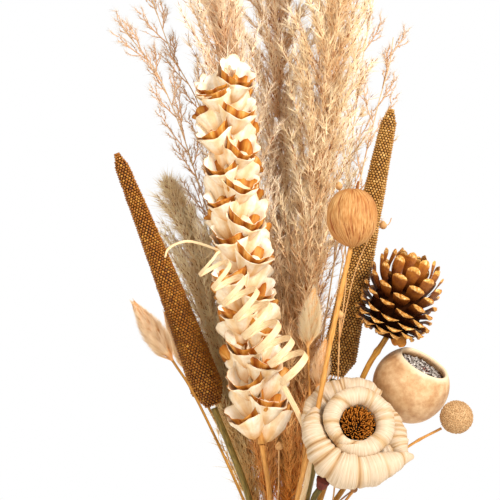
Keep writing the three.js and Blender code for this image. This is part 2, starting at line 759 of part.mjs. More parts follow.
function addPlumes(bunch) {
  bunch.add(
    makePlume('pampas_plume_right', {
      root: rootPoints(1, 1),
      crown: [
        at(4, 16, 252),
        at(9, 24, 330),
        at(19, 28, 450),
        at(29, 28, 542),
        at(38, 28, 634),
        at(42, 28, 690),
      ],
      halfWidth: 34,
      strands: 41,
      room: room(-8, 66, 14, 41),
      seed: 11,
      colour: 0xdcb48c,
    }),
  );
  bunch.add(
    makePlume('pampas_plume_middle', {
      root: rootPoints(2, 3),
      crown: [
        at(-1, 44, 310),
        at(-2, 58, 360),
        at(-4, 70, 450),
        at(-5, 76, 545),
        at(-8, 78, 648),
        at(-9, 78, 722),
      ],
      halfWidth: 36,
      strands: 40,
      room: room(-50, 50, 49, 120),
      seed: 23,
      colour: 0xd6ab80,
    }),
  );
  bunch.add(
    makePlume('pampas_plume_left', {
      root: rootPoints(2, 5),
      crown: [
        at(-19, 16, 266),
        at(-26, 23, 350),
        at(-34, 26, 450),
        at(-42, 27, 542),
        at(-53, 28, 626),
        at(-60, 28, 676),
      ],
      halfWidth: 29,
      strands: 35,
      room: room(-74, -15, 11, 41),
      seed: 37,
      colour: 0xc3a07c,
    }),
  );
  bunch.add(
    makePlume('pampas_plume_low_left', {
      root: rootPoints(3, 8),
      crown: [
        at(-28, 19, 262),
        at(-40, 26, 315),
        at(-55, 29, 374),
        at(-70, 30, 427),
        at(-82, 30, 456),
        at(-91, 30, 478),
      ],
      halfWidth: 19,
      strands: 14,
      room: room(-110, -20, 21, 36),
      seed: 5,
      colour: 0xbea082,
    }),
  );
}

function addReeds(bunch) {
  bunch.add(
    makeReed('reed_spray_left_high', {
      root: rootPoints(3, 6),
      crown: [
        at(-22, 36, 330),
        at(-48, 52, 466),
        at(-67, 60, 537),
        at(-89, 64, 580),
        at(-106, 64, 626),
      ],
      room: room(-140, -36, 59, 90),
      seed: 3,
      colour: 0xd2aa82,
    }),
  );
  bunch.add(
    makeReed('reed_spray_left_low', {
      root: rootPoints(3, 7),
      crown: [
        at(-36, 41, 366),
        at(-74, 49, 497),
        at(-94, 50, 551),
        at(-106, 50, 573),
        at(-127, 50, 599),
      ],
      room: room(-150, -60, 45, 56),
      seed: 9,
      colour: 0xd2aa82,
    }),
  );
  bunch.add(
    makeReed('reed_spray_right_low', {
      root: rootPoints(3, 3),
      crown: [
        at(38, 44, 389),
        at(57, 51, 482),
        at(71, 54, 540),
        at(80, 56, 572),
        at(83, 56, 593),
      ],
      room: room(44, 110, 46, 59),
      seed: 13,
      colour: 0xd2aa82,
    }),
  );
  bunch.add(
    makeReed('reed_spray_right_high', {
      root: rootPoints(3, 4),
      crown: [
        at(34, 50, 400),
        at(47, 60, 480),
        at(57, 66, 560),
        at(64, 68, 600),
        at(69, 68, 628),
      ],
      room: room(40, 110, 62, 90),
      seed: 17,
      colour: 0xd2aa82,
    }),
  );
}

function addMillet(bunch) {
  const left = at(-56.5, 5, 311.5);
  const right = at(35, -6, 334);
  bunch.add(makeMilletHead('millet_head_left', left, at(-128, -3, 499), at(3, 1, -2), 12.4, 4.2, 0xaa7332));
  bunch.add(makeMilletHead('millet_head_right', right, at(77, -5, 532), at(1, 0, 1), 13, 4.8, 0xbe9b69));
  const leftStem = [...rootPoints(3, 9), at(-30, 4, 243), at(-55.6, 5, 308.6)];
  const rightStem = [...rootPoints(1, 0), at(20, -4, 270), at(34, -6, 331)];
  bunch.add(stem('millet_stem_left', leftStem, MILLET_STEM_RADIUS, 0x6e5f28));
  bunch.add(stem('millet_stem_right', rightStem, MILLET_STEM_RADIUS, 0x8c7846));
}

function addBunnyTails(bunch) {
  bunch.add(makeBunnyTail('bunny_tail_right', at(14.2, -26, 357), at(18.8, -28, 400), 8.4, 0xebc391, 2));
  bunch.add(makeBunnyTail('bunny_tail_right_low', at(21, -28, 327), at(27, -30, 362), 7, 0xc8a071, 4));
  bunch.add(makeBunnyTail('bunny_tail_left', at(-87, -8, 346), at(-116, -8, 389), 9.2, 0xebc391, 6));
  bunch.add(makeBunnyTail('bunny_tail_left_back', at(-74.5, 26, 334.5), at(-93.5, 26, 380), 7.4, 0xd2aa7d, 8));
  const right = [...rootPoints(1, 5), at(15, -22, 310), at(14.2, -26, 355.6)];
  const rightLow = [...rootPoints(2, 10), at(17, -25, 290), at(20.7, -27.9, 325.6)];
  const left = [...rootPoints(3, 10), at(-34, -11, 243), at(-68, -12, 316), at(-86.1, -8, 344.8)];
  const leftBack = [...rootPoints(2, 6), at(-44, 20, 276), at(-74, 26, 333)];
  bunch.add(stem('bunny_tail_stem_right', right, TAIL_STEM_RADIUS, 0xbe9150));
  bunch.add(stem('bunny_tail_stem_right_low', rightLow, TAIL_STEM_RADIUS, 0xbe9150));
  bunch.add(stem('bunny_tail_stem_left', left, TAIL_STEM_RADIUS, 0x9b7337));
  bunch.add(stem('bunny_tail_stem_left_back', leftBack, TAIL_STEM_RADIUS, 0x9b7337));
}

function addSpikeAndNut(bunch) {
  bunch.add(makeBellSpike());
  const spikeStem = [...rootPoints(2, 7), at(-14, -15, 245), at(-19.9, -19.8, 283.4)];
  bunch.add(stem('bell_spike_stem', spikeStem, SPIKE_STEM_RADIUS, 0xc38c37));
  bunch.add(makeCaneCurl());
  bunch.add(makeNut(at(45, -60, 451.5)));
  const belowRose = [...rootPoints(3, 14), at(6, -42, 246), at(16, -60, 291)];
  const nutStick = [...belowRose, at(21, -61, 317), at(29.6, -61, 363), at(44, -60, 429.2)];
  bunch.add(stem('nut_stick', nutStick, NUT_STICK_RADIUS, 0xbe8232));
}

function addConeCupAndButton(bunch) {
  bunch.add(makePineCone(at(72.6, -31, 365.4), at(8, 1, 32)));
  const coneStick = [...rootPoints(2, 11), at(26, -18, 250), at(53, -31, 331), at(72.2, -31, 364.2)];
  bunch.add(stem('cone_stick', coneStick, CONE_STICK_RADIUS, 0x96601a));
  const cup = at(90.6, -20, 327.6);
  const heading = at(0.454, -0.326, 0.823).normalize();
  bunch.add(makeSeedCup(cup, heading));
  bunch.add(makeCupPith(cup, heading));
  const cupFoot = cup.clone().addScaledVector(heading, -CUP_RADIUS - 1);
  bunch.add(stem('cup_stick', [...rootPoints(2, 0), at(40, -10, 248), cupFoot], CUP_STICK_RADIUS, 0x96601a));
  bunch.add(makeButton(at(121.6, -46, 306)));
  const buttonStem = [...rootPoints(3, 0), at(52, -28, 255), at(87, -40, 284), at(111, -42.6, 297.6)];
  bunch.add(stem('button_stem', buttonStem, BUTTON_STEM_RADIUS, 0xc39b64));
}

function addRoseAndFlax(bunch) {
  bunch.add(makeRose());
  bunch.add(makeRoseBract());
  const roseStick = [...rootPoints(3, 15), at(17.5, -35, 243), at(22.4, -42.6, 253.6)];
  bunch.add(stem('rose_stick', roseStick, ROSE_STICK_RADIUS, 0x46461e));
  bunch.add(makeFlaxSpray());
  const frontPod = [...rootPoints(3, 12), at(-8, -26, 243), at(-7.2, -30, 283)];
  const rightBud = [...rootPoints(3, 16), at(33, -29, 238), at(47.4, -40, 253)];
  bunch.add(makeSinglePod('flax_pod_front', frontPod, 0xc8964b));
  bunch.add(makeSinglePod('flax_bud_right', rightBud, 0x8c5a28));
}

const bunch = new THREE.Group();
bunch.add(makeVase());
addPlumes(bunch);
addReeds(bunch);
addMillet(bunch);
addBunnyTails(bunch);
addSpikeAndNut(bunch);
addConeCupAndButton(bunch);
addRoseAndFlax(bunch);

export default bunch;
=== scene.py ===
"""A dried bunch in a plain stoneware vase: hair, grains, bells, husks and finishes over the fixed frame.

Sizes and places are in millimetres, in the frame's own axes. The vase stands at the origin, and the bunch
faces -Y.
"""

import math

import bmesh
import bpy
import numpy as np
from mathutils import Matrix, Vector, noise


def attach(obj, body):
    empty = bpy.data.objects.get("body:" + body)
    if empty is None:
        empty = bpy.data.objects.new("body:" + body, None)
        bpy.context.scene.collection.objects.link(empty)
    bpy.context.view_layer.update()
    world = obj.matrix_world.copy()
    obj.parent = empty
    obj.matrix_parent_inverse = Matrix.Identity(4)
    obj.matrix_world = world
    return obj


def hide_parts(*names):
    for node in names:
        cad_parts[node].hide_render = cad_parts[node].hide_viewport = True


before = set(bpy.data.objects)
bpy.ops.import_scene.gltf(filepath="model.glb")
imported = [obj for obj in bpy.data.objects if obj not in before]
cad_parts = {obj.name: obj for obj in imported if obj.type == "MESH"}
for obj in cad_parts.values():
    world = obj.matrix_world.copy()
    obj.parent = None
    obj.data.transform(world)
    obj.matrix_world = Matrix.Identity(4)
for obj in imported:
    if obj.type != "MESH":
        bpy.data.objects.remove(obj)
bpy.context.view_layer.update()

MM = 0.001
TURN = 2 * math.pi
GOLDEN_ANGLE = 2.39996
BACKWARD = (0.0, 1.0, 0.0)

# Vase and neck, with the main measures the same as in the frame
VASE_HEIGHT = 210
FOOT_RADIUS = 45
BELLY_RADIUS = 70
BELLY_HEIGHT = 80
NECK_RADIUS = 33
NECK_HEIGHT = 178
LIP_RADIUS = 41
VASE_WALL = 5
VASE_FLOOR = 8
FOOT_LIFT = 1.2
PLACE_PITCH = 7.6
PLACES_PER_RING = 6
MOUTH_SPREAD = 1.15

# Plumes: tufts on a branch, hairs in a tuft, and the heights over which the painted shade low on a plume
# fades out
BUNCH_TOP = 724
PLUME_TUFTS = 15
TUFT_HAIRS = 9
PLUME_STALK_RADIUS = 2.3
BRANCH_RADIUS = 0.45
BRANCH_CLIMB = (70, 120)
HAIR_LENGTH = (7, 18)
HAIR_RADIUS = (0.19, 0.33)
SEED_RADIUS = 0.36
SEED_LENGTH = (2.6, 4.6)
SHADE_FADES_FROM = 230
SHADE_FADES_OVER = 420

# Reeds: twiglets on a twig, chaff on a twiglet, and down on a piece of chaff
REED_TWIGLETS = 8
REED_CHAFFS = 6
REED_DOWNS = 3
REED_STALK_RADIUS = 1.25
TWIG_LENGTH = 52
TWIG_RADIUS = 0.62
TWIGLET_LENGTH = (6, 13)
TWIGLET_RADIUS = 0.4
CHAFF_LENGTH = (1.6, 3.2)
CHAFF_RADIUS = (0.3, 0.55)
DOWN_LENGTH = (3.5, 8.0)
DOWN_RADIUS = 0.12

# Millet heads and bunny tails
GRAIN_PITCH = 2.3
TAIL_TUFTS = 40
TAIL_HAIR_RADIUS = 0.24
TAIL_FLUFF_RADIUS = 0.12
TAIL_FOOT = 2.4

# Bell spike: the profiles are (radius, height) from foot to rim, a slant is how far a rim dips outward
BELL_PAIRS = 19
BELL_LOBES = 7
BELL_PROFILE = [(2.2, 6.0), (7.0, 9.5), (9.4, 13.5), (10.7, 17.5), (12.0, 21.5), (13.6, 25.0)]
BELL_SLANT = 0.56
BELL_FACING = 0.5
BELL_ROOT_X = 5.0
BELL_ROOT_Y = 2.2
CUP_LOBES = 5
CUP_PROFILE = [(1.0, 0.0), (4.6, 2.4), (8.2, 7.0), (10.8, 12.0), (12.8, 15.8), (14.6, 18.8)]
CUP_SLANT = 0.38
LOBE_STEPS = 5
PAPER_THICKNESS = 0.35

# Cane, nut, cone, seed cup, button flower, flax pods and stamens
CANE_TURNS = 7.5
CANE_RADIUS = 13.6
NUT_RADIUS = 18.4
NUT_HALF_HEIGHT = 21.2
CONE_HEIGHT = 66
CONE_RADIUS = 29.5
CONE_SCALES = 90
CONE_TWIST = 0.14
# From the cone's foot to its tip: the share of the scales, how far they reach out and how high they rise
CONE_OUTLINE = [
    (0, 0.34, -0.01),
    (0.08, 0.68, 0.03),
    (0.2, 0.93, 0.1),
    (0.35, 1.0, 0.22),
    (0.55, 1.0, 0.46),
    (0.75, 0.92, 0.74),
    (0.9, 0.74, 0.92),
    (1, 0.3, 0.98),
]
SEED_CUP_RADIUS = 28.3
SEED_CUP_MOUTH = 20.0
SEED_CUP_WALL = 3.6
PITH_LEVEL = 0.60
PITH_CRUMBS = 420
BUTTON_RADIUS = 11.9
BUTTON_KNOBS = 700
POD_RADIUS = 2.8
STAMENS = 270
STAMEN_SPREAD = 11.4
STAMEN_FOOT = -3.4
STAMEN_RADIUS = 0.3


# Directions and lines


def direction(v):
    """A vector, or each of many, drawn out or in to length one."""
    v = np.asarray(v, float)
    return v / np.maximum(np.linalg.norm(v, axis=-1, keepdims=True), 1e-9)


class Line:
    """A smooth line through points, measured by the share of its length."""

    def __init__(self, points, steps=24):
        p = np.array(points, float)
        ends = np.vstack([2 * p[0] - p[1], p, 2 * p[-1] - p[-2]])
        t = np.linspace(0, 1, steps, endpoint=False)[:, None]
        runs = []
        for a, b, c, d in zip(ends, ends[1:], ends[2:], ends[3:]):
            cubic = 3 * b - a - 3 * c + d
            square = 2 * a - 5 * b + 4 * c - d
            runs.append(0.5 * (2 * b + (c - a) * t + square * t**2 + cubic * t**3))
        self.points = np.vstack(runs + [p[-1:]])
        lengths = np.linalg.norm(np.diff(self.points, axis=0), axis=1)
        self.reach = np.concatenate([[0], np.cumsum(lengths)])
        self.length = self.reach[-1]

    def at(self, share):
        """The points at shares of the length."""
        s = np.clip(share, 0, 1) * self.length
        return np.stack([np.interp(s, self.reach, self.points[:, k]) for k in range(3)], -1)

    def heading(self, share):
        """The way the line runs at shares of its length."""
        share = np.asarray(share, float)
        return direction(self.at(share + 0.004) - self.at(share - 0.004))


def spread_from(heading, angle):
    """A direction square to each heading, turned round it by the angle."""
    side = direction(np.cross(heading, np.broadcast_to(BACKWARD, heading.shape) + 1e-6))
    other = np.cross(side, heading)
    return side * np.cos(angle)[..., None] + other * np.sin(angle)[..., None]


def kept_under(points, top):
    """Eases points down below a height."""
    ease = 16.0
    over = points[..., 2] - (top - ease)
    points = points.copy()
    points[..., 2] = np.where(over > 0, top - ease + ease * np.tanh(over / ease), points[..., 2])
    return points


def kept_in(points, room, ease=7.0):
    """Eases points back inside a room, so that one piece's hair stays clear of the next piece."""
    low = np.array(room[0], float)
    high = np.array(room[1], float)
    over = points - (high - ease)
    points = np.where(over > 0, high - ease + ease * np.tanh(over / ease), points)
    under = (low + ease) - points
    return np.where(under > 0, low + ease - ease * np.tanh(under / ease), points)


def room_of(x_low, y_low, x_high, y_high):
    """The room that a piece's hair may take, open above and below."""
    far = 1e4
    return (x_low, y_low, -far), (x_high, y_high, far)


def neck_place(ring, number):
    """A stem's own place in the neck, in rings round the middle."""
    angle = TURN * number / max(1, PLACES_PER_RING * ring)
    reach = PLACE_PITCH * ring
    return np.array([reach * math.cos(angle), reach * math.sin(angle)])


def root_points(ring, number):
    """The points of a stem from the vase's floor, upright to the neck and fanning out at the mouth."""
    x, y = neck_place(ring, number)
    return [
        (x, y, VASE_FLOOR + 0.3),
        (x, y, 95),
        (x, y, 150),
        (x, y, NECK_HEIGHT),
        (x * MOUTH_SPREAD, y * MOUTH_SPREAD, VASE_HEIGHT + 2),
    ]


# Shapes to copy


def shape_of(mesh):
    """The corners and triangles of a bmesh, for copying many times."""
    bmesh.ops.triangulate(mesh, faces=mesh.faces[:])
    mesh.verts.index_update()
    corners = np.array([v.co[:] for v in mesh.verts])
    faces = np.array([[v.index for v in f.verts] for f in mesh.faces])
    mesh.free()
    return corners, faces


def turned(profile, steps, join=0.001):
    """A bmesh turned round Z from a line of (radius, height) points, joined along its seam."""
    mesh = bmesh.new()
    points = [mesh.verts.new((r, 0, z)) for r, z in profile]
    edges = [mesh.edges.new(pair) for pair in zip(points, points[1:])]
    bmesh.ops.spin(
        mesh, geom=points + edges, cent=(0, 0, 0), axis=(0, 0, 1), angle=TURN, steps=steps, use_merge=True
    )
    bmesh.ops.remove_doubles(mesh, verts=mesh.verts[:], dist=join)
    return mesh


def rod(sides, rings, pointed=False):
    """A rod along Z from -0.5 to 0.5, one unit in radius, with rings along it."""
    mesh = bmesh.new()
    bmesh.ops.create_cone(mesh, cap_ends=True, segments=sides, radius1=1, radius2=1, depth=1)
    if rings > 1:
        long = [e for e in mesh.edges if abs(e.verts[0].co.z - e.verts[1].co.z) > 0.5]
        bmesh.ops.subdivide_edges(mesh, edges=long, cuts=rings - 1)
    if pointed:
        top = [v for v in mesh.verts if v.co.z > 0.499]
        bmesh.ops.pointmerge(mesh, verts=top, merge_co=Vector((0, 0, 0.5)))
    bmesh.ops.recalc_face_normals(mesh, faces=mesh.faces[:])
    return shape_of(mesh)


def strip(rings):
    """A rod of twelve sides, squared off into a flat strip."""
    corners, faces = rod(12, rings)
    corners[:, :2] = np.sign(corners[:, :2]) * np.abs(corners[:, :2]) ** 0.45
    return corners, faces


def grain(detail):
    """A small round seed, one unit in radius."""
    mesh = bmesh.new()
    bmesh.ops.create_icosphere(mesh, subdivisions=detail, radius=1)
    return shape_of(mesh)


def ball(columns, rows):
    """A ball, one unit in radius, with its poles on Z."""
    mesh = bmesh.new()
    bmesh.ops.create_uvsphere(mesh, u_segments=columns, v_segments=rows, radius=1)
    return shape_of(mesh)


class Heap:
    """Gathers copies of shapes into the mesh of one piece."""

    def __init__(self):
        self.corners = []
        self.faces = []
        self.along = []
        self.across = []
        self.tone = []
        self.finish = []
        self.count = 0

    def add(self, corners, faces, along=0.0, across=0.0, tone=0.5, finish=0):
        """Adds the corners of one shape, (n, 3), or of many copies, (copies, n, 3), with their values."""
        corners = np.asarray(corners, float)
        if corners.ndim == 2:
            corners = corners[None]
        copies, n, _ = corners.shape
        start = self.count + n * np.arange(copies)[:, None, None]
        self.faces.append((faces[None] + start).reshape(-1, 3))
        self.corners.append(corners.reshape(-1, 3))
        for kept, value in ((self.along, along), (self.across, across), (self.tone, tone)):
            value = np.asarray(value, float)
            if value.ndim == 1 and value.shape[0] == copies and copies > 1:
                value = value[:, None]
            kept.append(np.broadcast_to(value, (copies, n)).reshape(-1))
        self.finish.append(np.broadcast_to(finish, copies * len(faces)))
        self.count += copies * n

    def piece(self, name, finishes, node, slot, smooth=True):
        """Makes the mesh, rides it on the bunch and lets it stand for its node."""
        corners = np.concatenate(self.corners) * MM
        faces = np.concatenate(self.faces)
        mesh = bpy.data.meshes.new(name)
        mesh.vertices.add(len(corners))
        mesh.vertices.foreach_set("co", corners.astype(np.float32).ravel())
        mesh.loops.add(faces.size)
        mesh.loops.foreach_set("vertex_index", faces.astype(np.int32).ravel())
        mesh.polygons.add(len(faces))
        mesh.polygons.foreach_set("loop_start", np.arange(0, faces.size, 3, dtype=np.int32))
        mesh.polygons.foreach_set("loop_total", np.full(len(faces), 3, dtype=np.int32))
        mesh.polygons.foreach_set("material_index", np.concatenate(self.finish).astype(np.int32))
        mesh.update(calc_edges=True)
        for word, kept in (("along", self.along), ("across", self.across), ("tone", self.tone)):
            layer = mesh.attributes.new(word, "FLOAT", "POINT")
            layer.data.foreach_set("value", np.concatenate(kept).astype(np.float32))
        for finish in finishes:
            mesh.materials.append(finish)
        mesh.polygons.foreach_set("use_smooth", np.full(len(faces), smooth))
        mesh.validate()
        piece = bpy.data.objects.new(name, mesh)
        bpy.context.scene.collection.objects.link(piece)
        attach(piece, "root")
        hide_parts(node)
        return piece


def swept(shape, line, radius, hint=BACKWARD, flat=(1.0, 1.0)):
    """Bends a rod along a line. radius(share, angle) gives its reach, flat its two half widths."""
    corners, faces = shape
    share = np.clip(corners[:, 2] + 0.5, 0, 1)
    centre = line.at(share)
    heading = line.heading(share)
    side = direction(np.cross(heading, np.broadcast_to(hint, heading.shape)))
    other = np.cross(side, heading)
    angle = np.arctan2(corners[:, 1], corners[:, 0])
    reach = radius(share, angle)
    x = corners[:, 0] * reach * flat[0]
    y = corners[:, 1] * reach * flat[1]
    return centre - side * x[:, None] + other * y[:, None], faces, share, angle / TURN + 0.5


def bent(shape, roots, middles, tips, radius, taper, spin=None):
    """Copies of a thin rod, each bent from its root towards its middle point and on to its tip."""
    corners, faces = shape
    t = (corners[:, 2] + 0.5)[None, :, None]
    roots, middles, tips = (np.asarray(p, float)[:, None] for p in (roots, middles, tips))
    centre = (1 - t) ** 2 * roots + 2 * t * (1 - t) * middles + t**2 * tips
    heading = direction(tips - roots)
    if spin is None:
        spin = np.zeros(len(roots))
    side = spread_from(heading[:, 0], spin)[:, None]
    other = np.cross(heading, side)
    thin = np.asarray(radius, float).reshape(-1, 1, 1) * (1 - taper * t)
    placed = centre + thin * (side * corners[None, :, 0:1] + other * corners[None, :, 1:2])
    return placed, faces, np.broadcast_to(t[..., 0], placed.shape[:2])


def set_in(shape, centres, ups, sizes, spin=None):
    """Copies of a shape with its Z along each given direction. sizes is (copies, 3)."""
    corners, faces = shape
    ups = direction(ups)
    if spin is None:
        spin = np.zeros(len(ups))
    side = spread_from(ups, spin)
    other = np.cross(ups, side)
    sized = corners[None] * np.asarray(sizes, float).reshape(len(ups), -1, 3)
    placed = (
        np.asarray(centres, float)[:, None]
        + sized[..., 0:1] * side[:, None]
        + sized[..., 1:2] * other[:, None]
        + sized[..., 2:3] * ups[:, None]
    )
    return placed, faces


NEEDLE = rod(3, 1, pointed=True)
FINE_NEEDLE = rod(3, 2, pointed=True)
BRANCH = rod(3, 6, pointed=True)
GRAIN = grain(1)


# Finishes


def linear(red, green, blue):
    """A colour as the eye reads it, from 0 to 255, as the light that a shader takes."""
    parts = [c / 255 for c in (red, green, blue)]
    return tuple(c / 12.92 if c <= 0.04045 else ((c + 0.055) / 1.055) ** 2.4 for c in parts) + (1.0,)


WHITE = linear(255, 255, 255)
BLACK = linear(0, 0, 0)


class Finish:
    """Builds one finish: helpers for the nodes, and the shader that they feed."""

    def __init__(self, name, roughness, coat=0.0, gloss=0.5):
        self.material = bpy.data.materials.new(name)
        self.material.use_nodes = True
        self.tree = self.material.node_tree
        self.shader = self.tree.nodes["Principled BSDF"]
        self.shader.inputs["Roughness"].default_value = roughness
        self.shader.inputs["Specular IOR Level"].default_value = gloss
        self.shader.inputs["Coat Weight"].default_value = coat
        self.place = self.tree.nodes.new("ShaderNodeTexCoord").outputs["Object"]

    def link(self, value, socket):
        """Joins a node's output to a socket, or sets the socket to a plain value."""
        if hasattr(value, "is_output"):
            self.tree.links.new(value, socket)
        else:
            socket.default_value = value

    def read(self, word):
        """A value kept on the piece's corners: along, across or tone."""
        node = self.tree.nodes.new("ShaderNodeAttribute")
        node.attribute_name = word
        return node.outputs["Fac"]

    def math(self, how, a, b):
        """Two values added, subtracted or multiplied."""
        node = self.tree.nodes.new("ShaderNodeMath")
        node.operation = how
        self.link(a, node.inputs[0])
        self.link(b, node.inputs[1])
        return node.outputs[0]

    def stretched(self, scale):
        """The piece's own place, scaled apart along X, Y and Z."""
        node = self.tree.nodes.new("ShaderNodeMapping")
        self.link(self.place, node.inputs["Vector"])
        node.inputs["Scale"].default_value = scale
        return node.outputs[0]

    def joined(self, x, y, z=0.0):
        """A place put together from three values, for a pattern that follows the surface."""
        node = self.tree.nodes.new("ShaderNodeCombineXYZ")
        for value, socket in zip((x, y, z), node.inputs):
            self.link(value, socket)
        return node.outputs[0]

    def cloud(self, scale, detail, vector=None, roughness=0.55):
        """Soft noise."""
        node = self.tree.nodes.new("ShaderNodeTexNoise")
        self.link(self.place if vector is None else vector, node.inputs["Vector"])
        node.inputs["Scale"].default_value = scale
        node.inputs["Detail"].default_value = detail
        node.inputs["Roughness"].default_value = roughness
        return node.outputs["Fac"]

    def cells(self, scale):
        """The distance to the nearest of many scattered points."""
        node = self.tree.nodes.new("ShaderNodeTexVoronoi")
        self.link(self.place, node.inputs["Vector"])
        node.inputs["Scale"].default_value = scale
        return node.outputs["Distance"]

    def ramp(self, value, *stops):
        """A value turned into colours, given as (value, colour) stops."""
        node = self.tree.nodes.new("ShaderNodeValToRGB")
        self.link(value, node.inputs[0])
        band = node.color_ramp.elements
        while len(band) < len(stops):
            band.new(0.5)
        for element, (at, colour) in zip(band, stops):
            element.position = at
            element.color = colour
        return node.outputs[0]

    def mixed(self, share, a, b, how="MIX"):
        """Colour a with a share of colour b over it."""
        node = self.tree.nodes.new("ShaderNodeMix")
        node.data_type = "RGBA"
        node.blend_type = how
        self.link(share, node.inputs[0])
        self.link(a, node.inputs[6])
        self.link(b, node.inputs[7])
        return node.outputs[2]

    def relief(self, height, depth, strength):
        """Bump of a height from 0 to 1, depth in millimetres."""
        node = self.tree.nodes.new("ShaderNodeBump")
        node.inputs["Strength"].default_value = strength
        node.inputs["Distance"].default_value = depth * MM
        self.link(height, node.inputs["Height"])
        self.tree.links.new(node.outputs[0], self.shader.inputs["Normal"])

    def done(self, colour):
        """Gives the shader its colour and hands over the material."""
        self.link(colour, self.shader.inputs["Base Color"])
        return self.material


def hair_finish(name, root, middle, tip, low=None):
    """Fine dry hair: darker towards its root, painted shade deep in the mass, with a tone for each hair, and
    more painted shade low on its head.
    """
    f = Finish(name, 0.75, gloss=0.1)
    # Darker towards the root: painted shade deep in the hair mass.
    length = f.ramp(f.read("along"), (0.0, root), (0.45, middle), (1.0, tip))
    patch = f.ramp(f.cloud(28, 2.0), (0.35, linear(248, 243, 237)), (0.65, WHITE))
    single = f.ramp(f.read("tone"), (0.0, linear(232, 214, 194)), (0.3, linear(252, 249, 245)), (1.0, WHITE))
    colour = f.mixed(1.0, f.mixed(1.0, length, patch, "MULTIPLY"), single, "MULTIPLY")
    # Painted shade low on the head, fading out higher up.
    if low is not None:
        colour = f.mixed(1.0, colour, f.ramp(f.read("across"), (0.0, low), (0.55, WHITE)), "MULTIPLY")
    return f.done(colour)


def straw_finish(name, dark, light):
    """A dry stalk: streaks and fine fibres along it."""
    f = Finish(name, 0.5, gloss=0.35)
    across, along = f.read("across"), f.read("along")
    wide_place = f.joined(f.math("MULTIPLY", across, 12.0), f.math("MULTIPLY", along, 7.0))
    streaks = f.cloud(1.0, 4.0, wide_place)
    fine_place = f.joined(f.math("MULTIPLY", across, 60.0), f.math("MULTIPLY", along, 16.0))
    fibre = f.cloud(1.0, 2.0, fine_place)
    f.relief(fibre, 0.25, 0.6)
    return f.done(f.ramp(streaks, (0.32, dark), (0.68, light)))


def stoneware_finish():
    """Matt glaze: soft clouds, a few brown specks and faint rings from the wheel."""
    f = Finish("stoneware", 0.62)
    clouds = f.ramp(f.cloud(9, 4.0), (0.3, linear(222, 212, 198)), (0.7, linear(242, 235, 222)))
    specks = f.ramp(f.cells(420), (0.05, linear(150, 120, 90)), (0.11, WHITE))
    sparse = f.ramp(f.cloud(160, 1.0), (0.5, WHITE), (0.62, BLACK))
    rings = f.cloud(1.0, 2.0, f.stretched((4.0, 4.0, 330.0)))
    f.relief(f.mixed(0.35, rings, f.cloud(700, 3.0)), 0.5, 0.5)
    speckled = f.math("MULTIPLY", f.math("SUBTRACT", 1.0, sparse), 0.8)
    return f.done(f.mixed(speckled, clouds, f.mixed(1.0, clouds, specks, "MULTIPLY")))


def grain_finish(name, dark, middle, light):
    """Seeds with a tone of their own each, glossy, and with painted shade at their foot, where they crowd
    together.
    """
    f = Finish(name, 0.38, coat=0.06, gloss=0.35)
    seed = f.ramp(f.read("tone"), (0.0, dark), (0.5, middle), (1.0, light))
    # Painted shade at the foot of each seed, in the gaps between seeds.
    foot = f.ramp(f.read("along"), (0.25, linear(130, 90, 50)), (0.8, WHITE))
    f.relief(f.cloud(2400, 2.0), 0.12, 0.5)
    return f.done(f.mixed(0.9, seed, foot, "MULTIPLY"))


def plain_finish(name, dark, light, scale, roughness=0.75, gloss=0.5):
    """One dry tone that wanders from dark to light, with a fine grit."""
    f = Finish(name, roughness, gloss=gloss)
    f.relief(f.cloud(900, 3.0), 0.2, 0.7)
    return f.done(f.ramp(f.cloud(scale, 4.0), (0.3, dark), (0.7, light)))


def petal_finish(name, dark, middle, light, foot, edge, valley_shade):
    """Papery petal with veins from its foot, other tones at its foot and its edge, and painted shade between
    lobes.
    """
    f = Finish(name, 0.6, gloss=0.2)
    across = f.math("MULTIPLY", f.read("across"), 26.0)
    along = f.math("MULTIPLY", f.read("along"), 1.6)
    veins = f.cloud(1.0, 3.0, f.joined(across, along))
    blotch = f.ramp(f.cloud(210, 3.0), (0.35, linear(246, 236, 222)), (0.6, WHITE))
    ground = f.ramp(veins, (0.25, dark), (0.5, middle), (0.75, light))
    ends = f.ramp(f.read("along"), (0.0, foot), (0.45, WHITE), (0.88, WHITE), (1.0, edge))
    # Painted shade in the valleys between lobes.
    lobes = f.ramp(f.read("tone"), (0.15, valley_shade), (0.7, WHITE))
    f.relief(veins, 0.4, 0.6)
    colour = f.mixed(1.0, f.mixed(1.0, ground, ends, "MULTIPLY"), blotch, "MULTIPLY")
    return f.done(f.mixed(1.0, colour, lobes, "MULTIPLY"))


def cane_finish():
    """A thin strip of cane with fine lines along it."""
    f = Finish("cane_strip", 0.45, gloss=0.35)
    place = f.joined(f.math("MULTIPLY", f.read("across"), 46.0), f.math("MULTIPLY", f.read("along"), 9.0))
    lines = f.cloud(1.0, 3.0, place)
    f.relief(lines, 0.35, 0.7)
    dark, middle, light = linear(216, 174, 116), linear(238, 208, 162), linear(248, 228, 192)
    return f.done(f.ramp(lines, (0.28, dark), (0.5, middle), (0.72, light)))


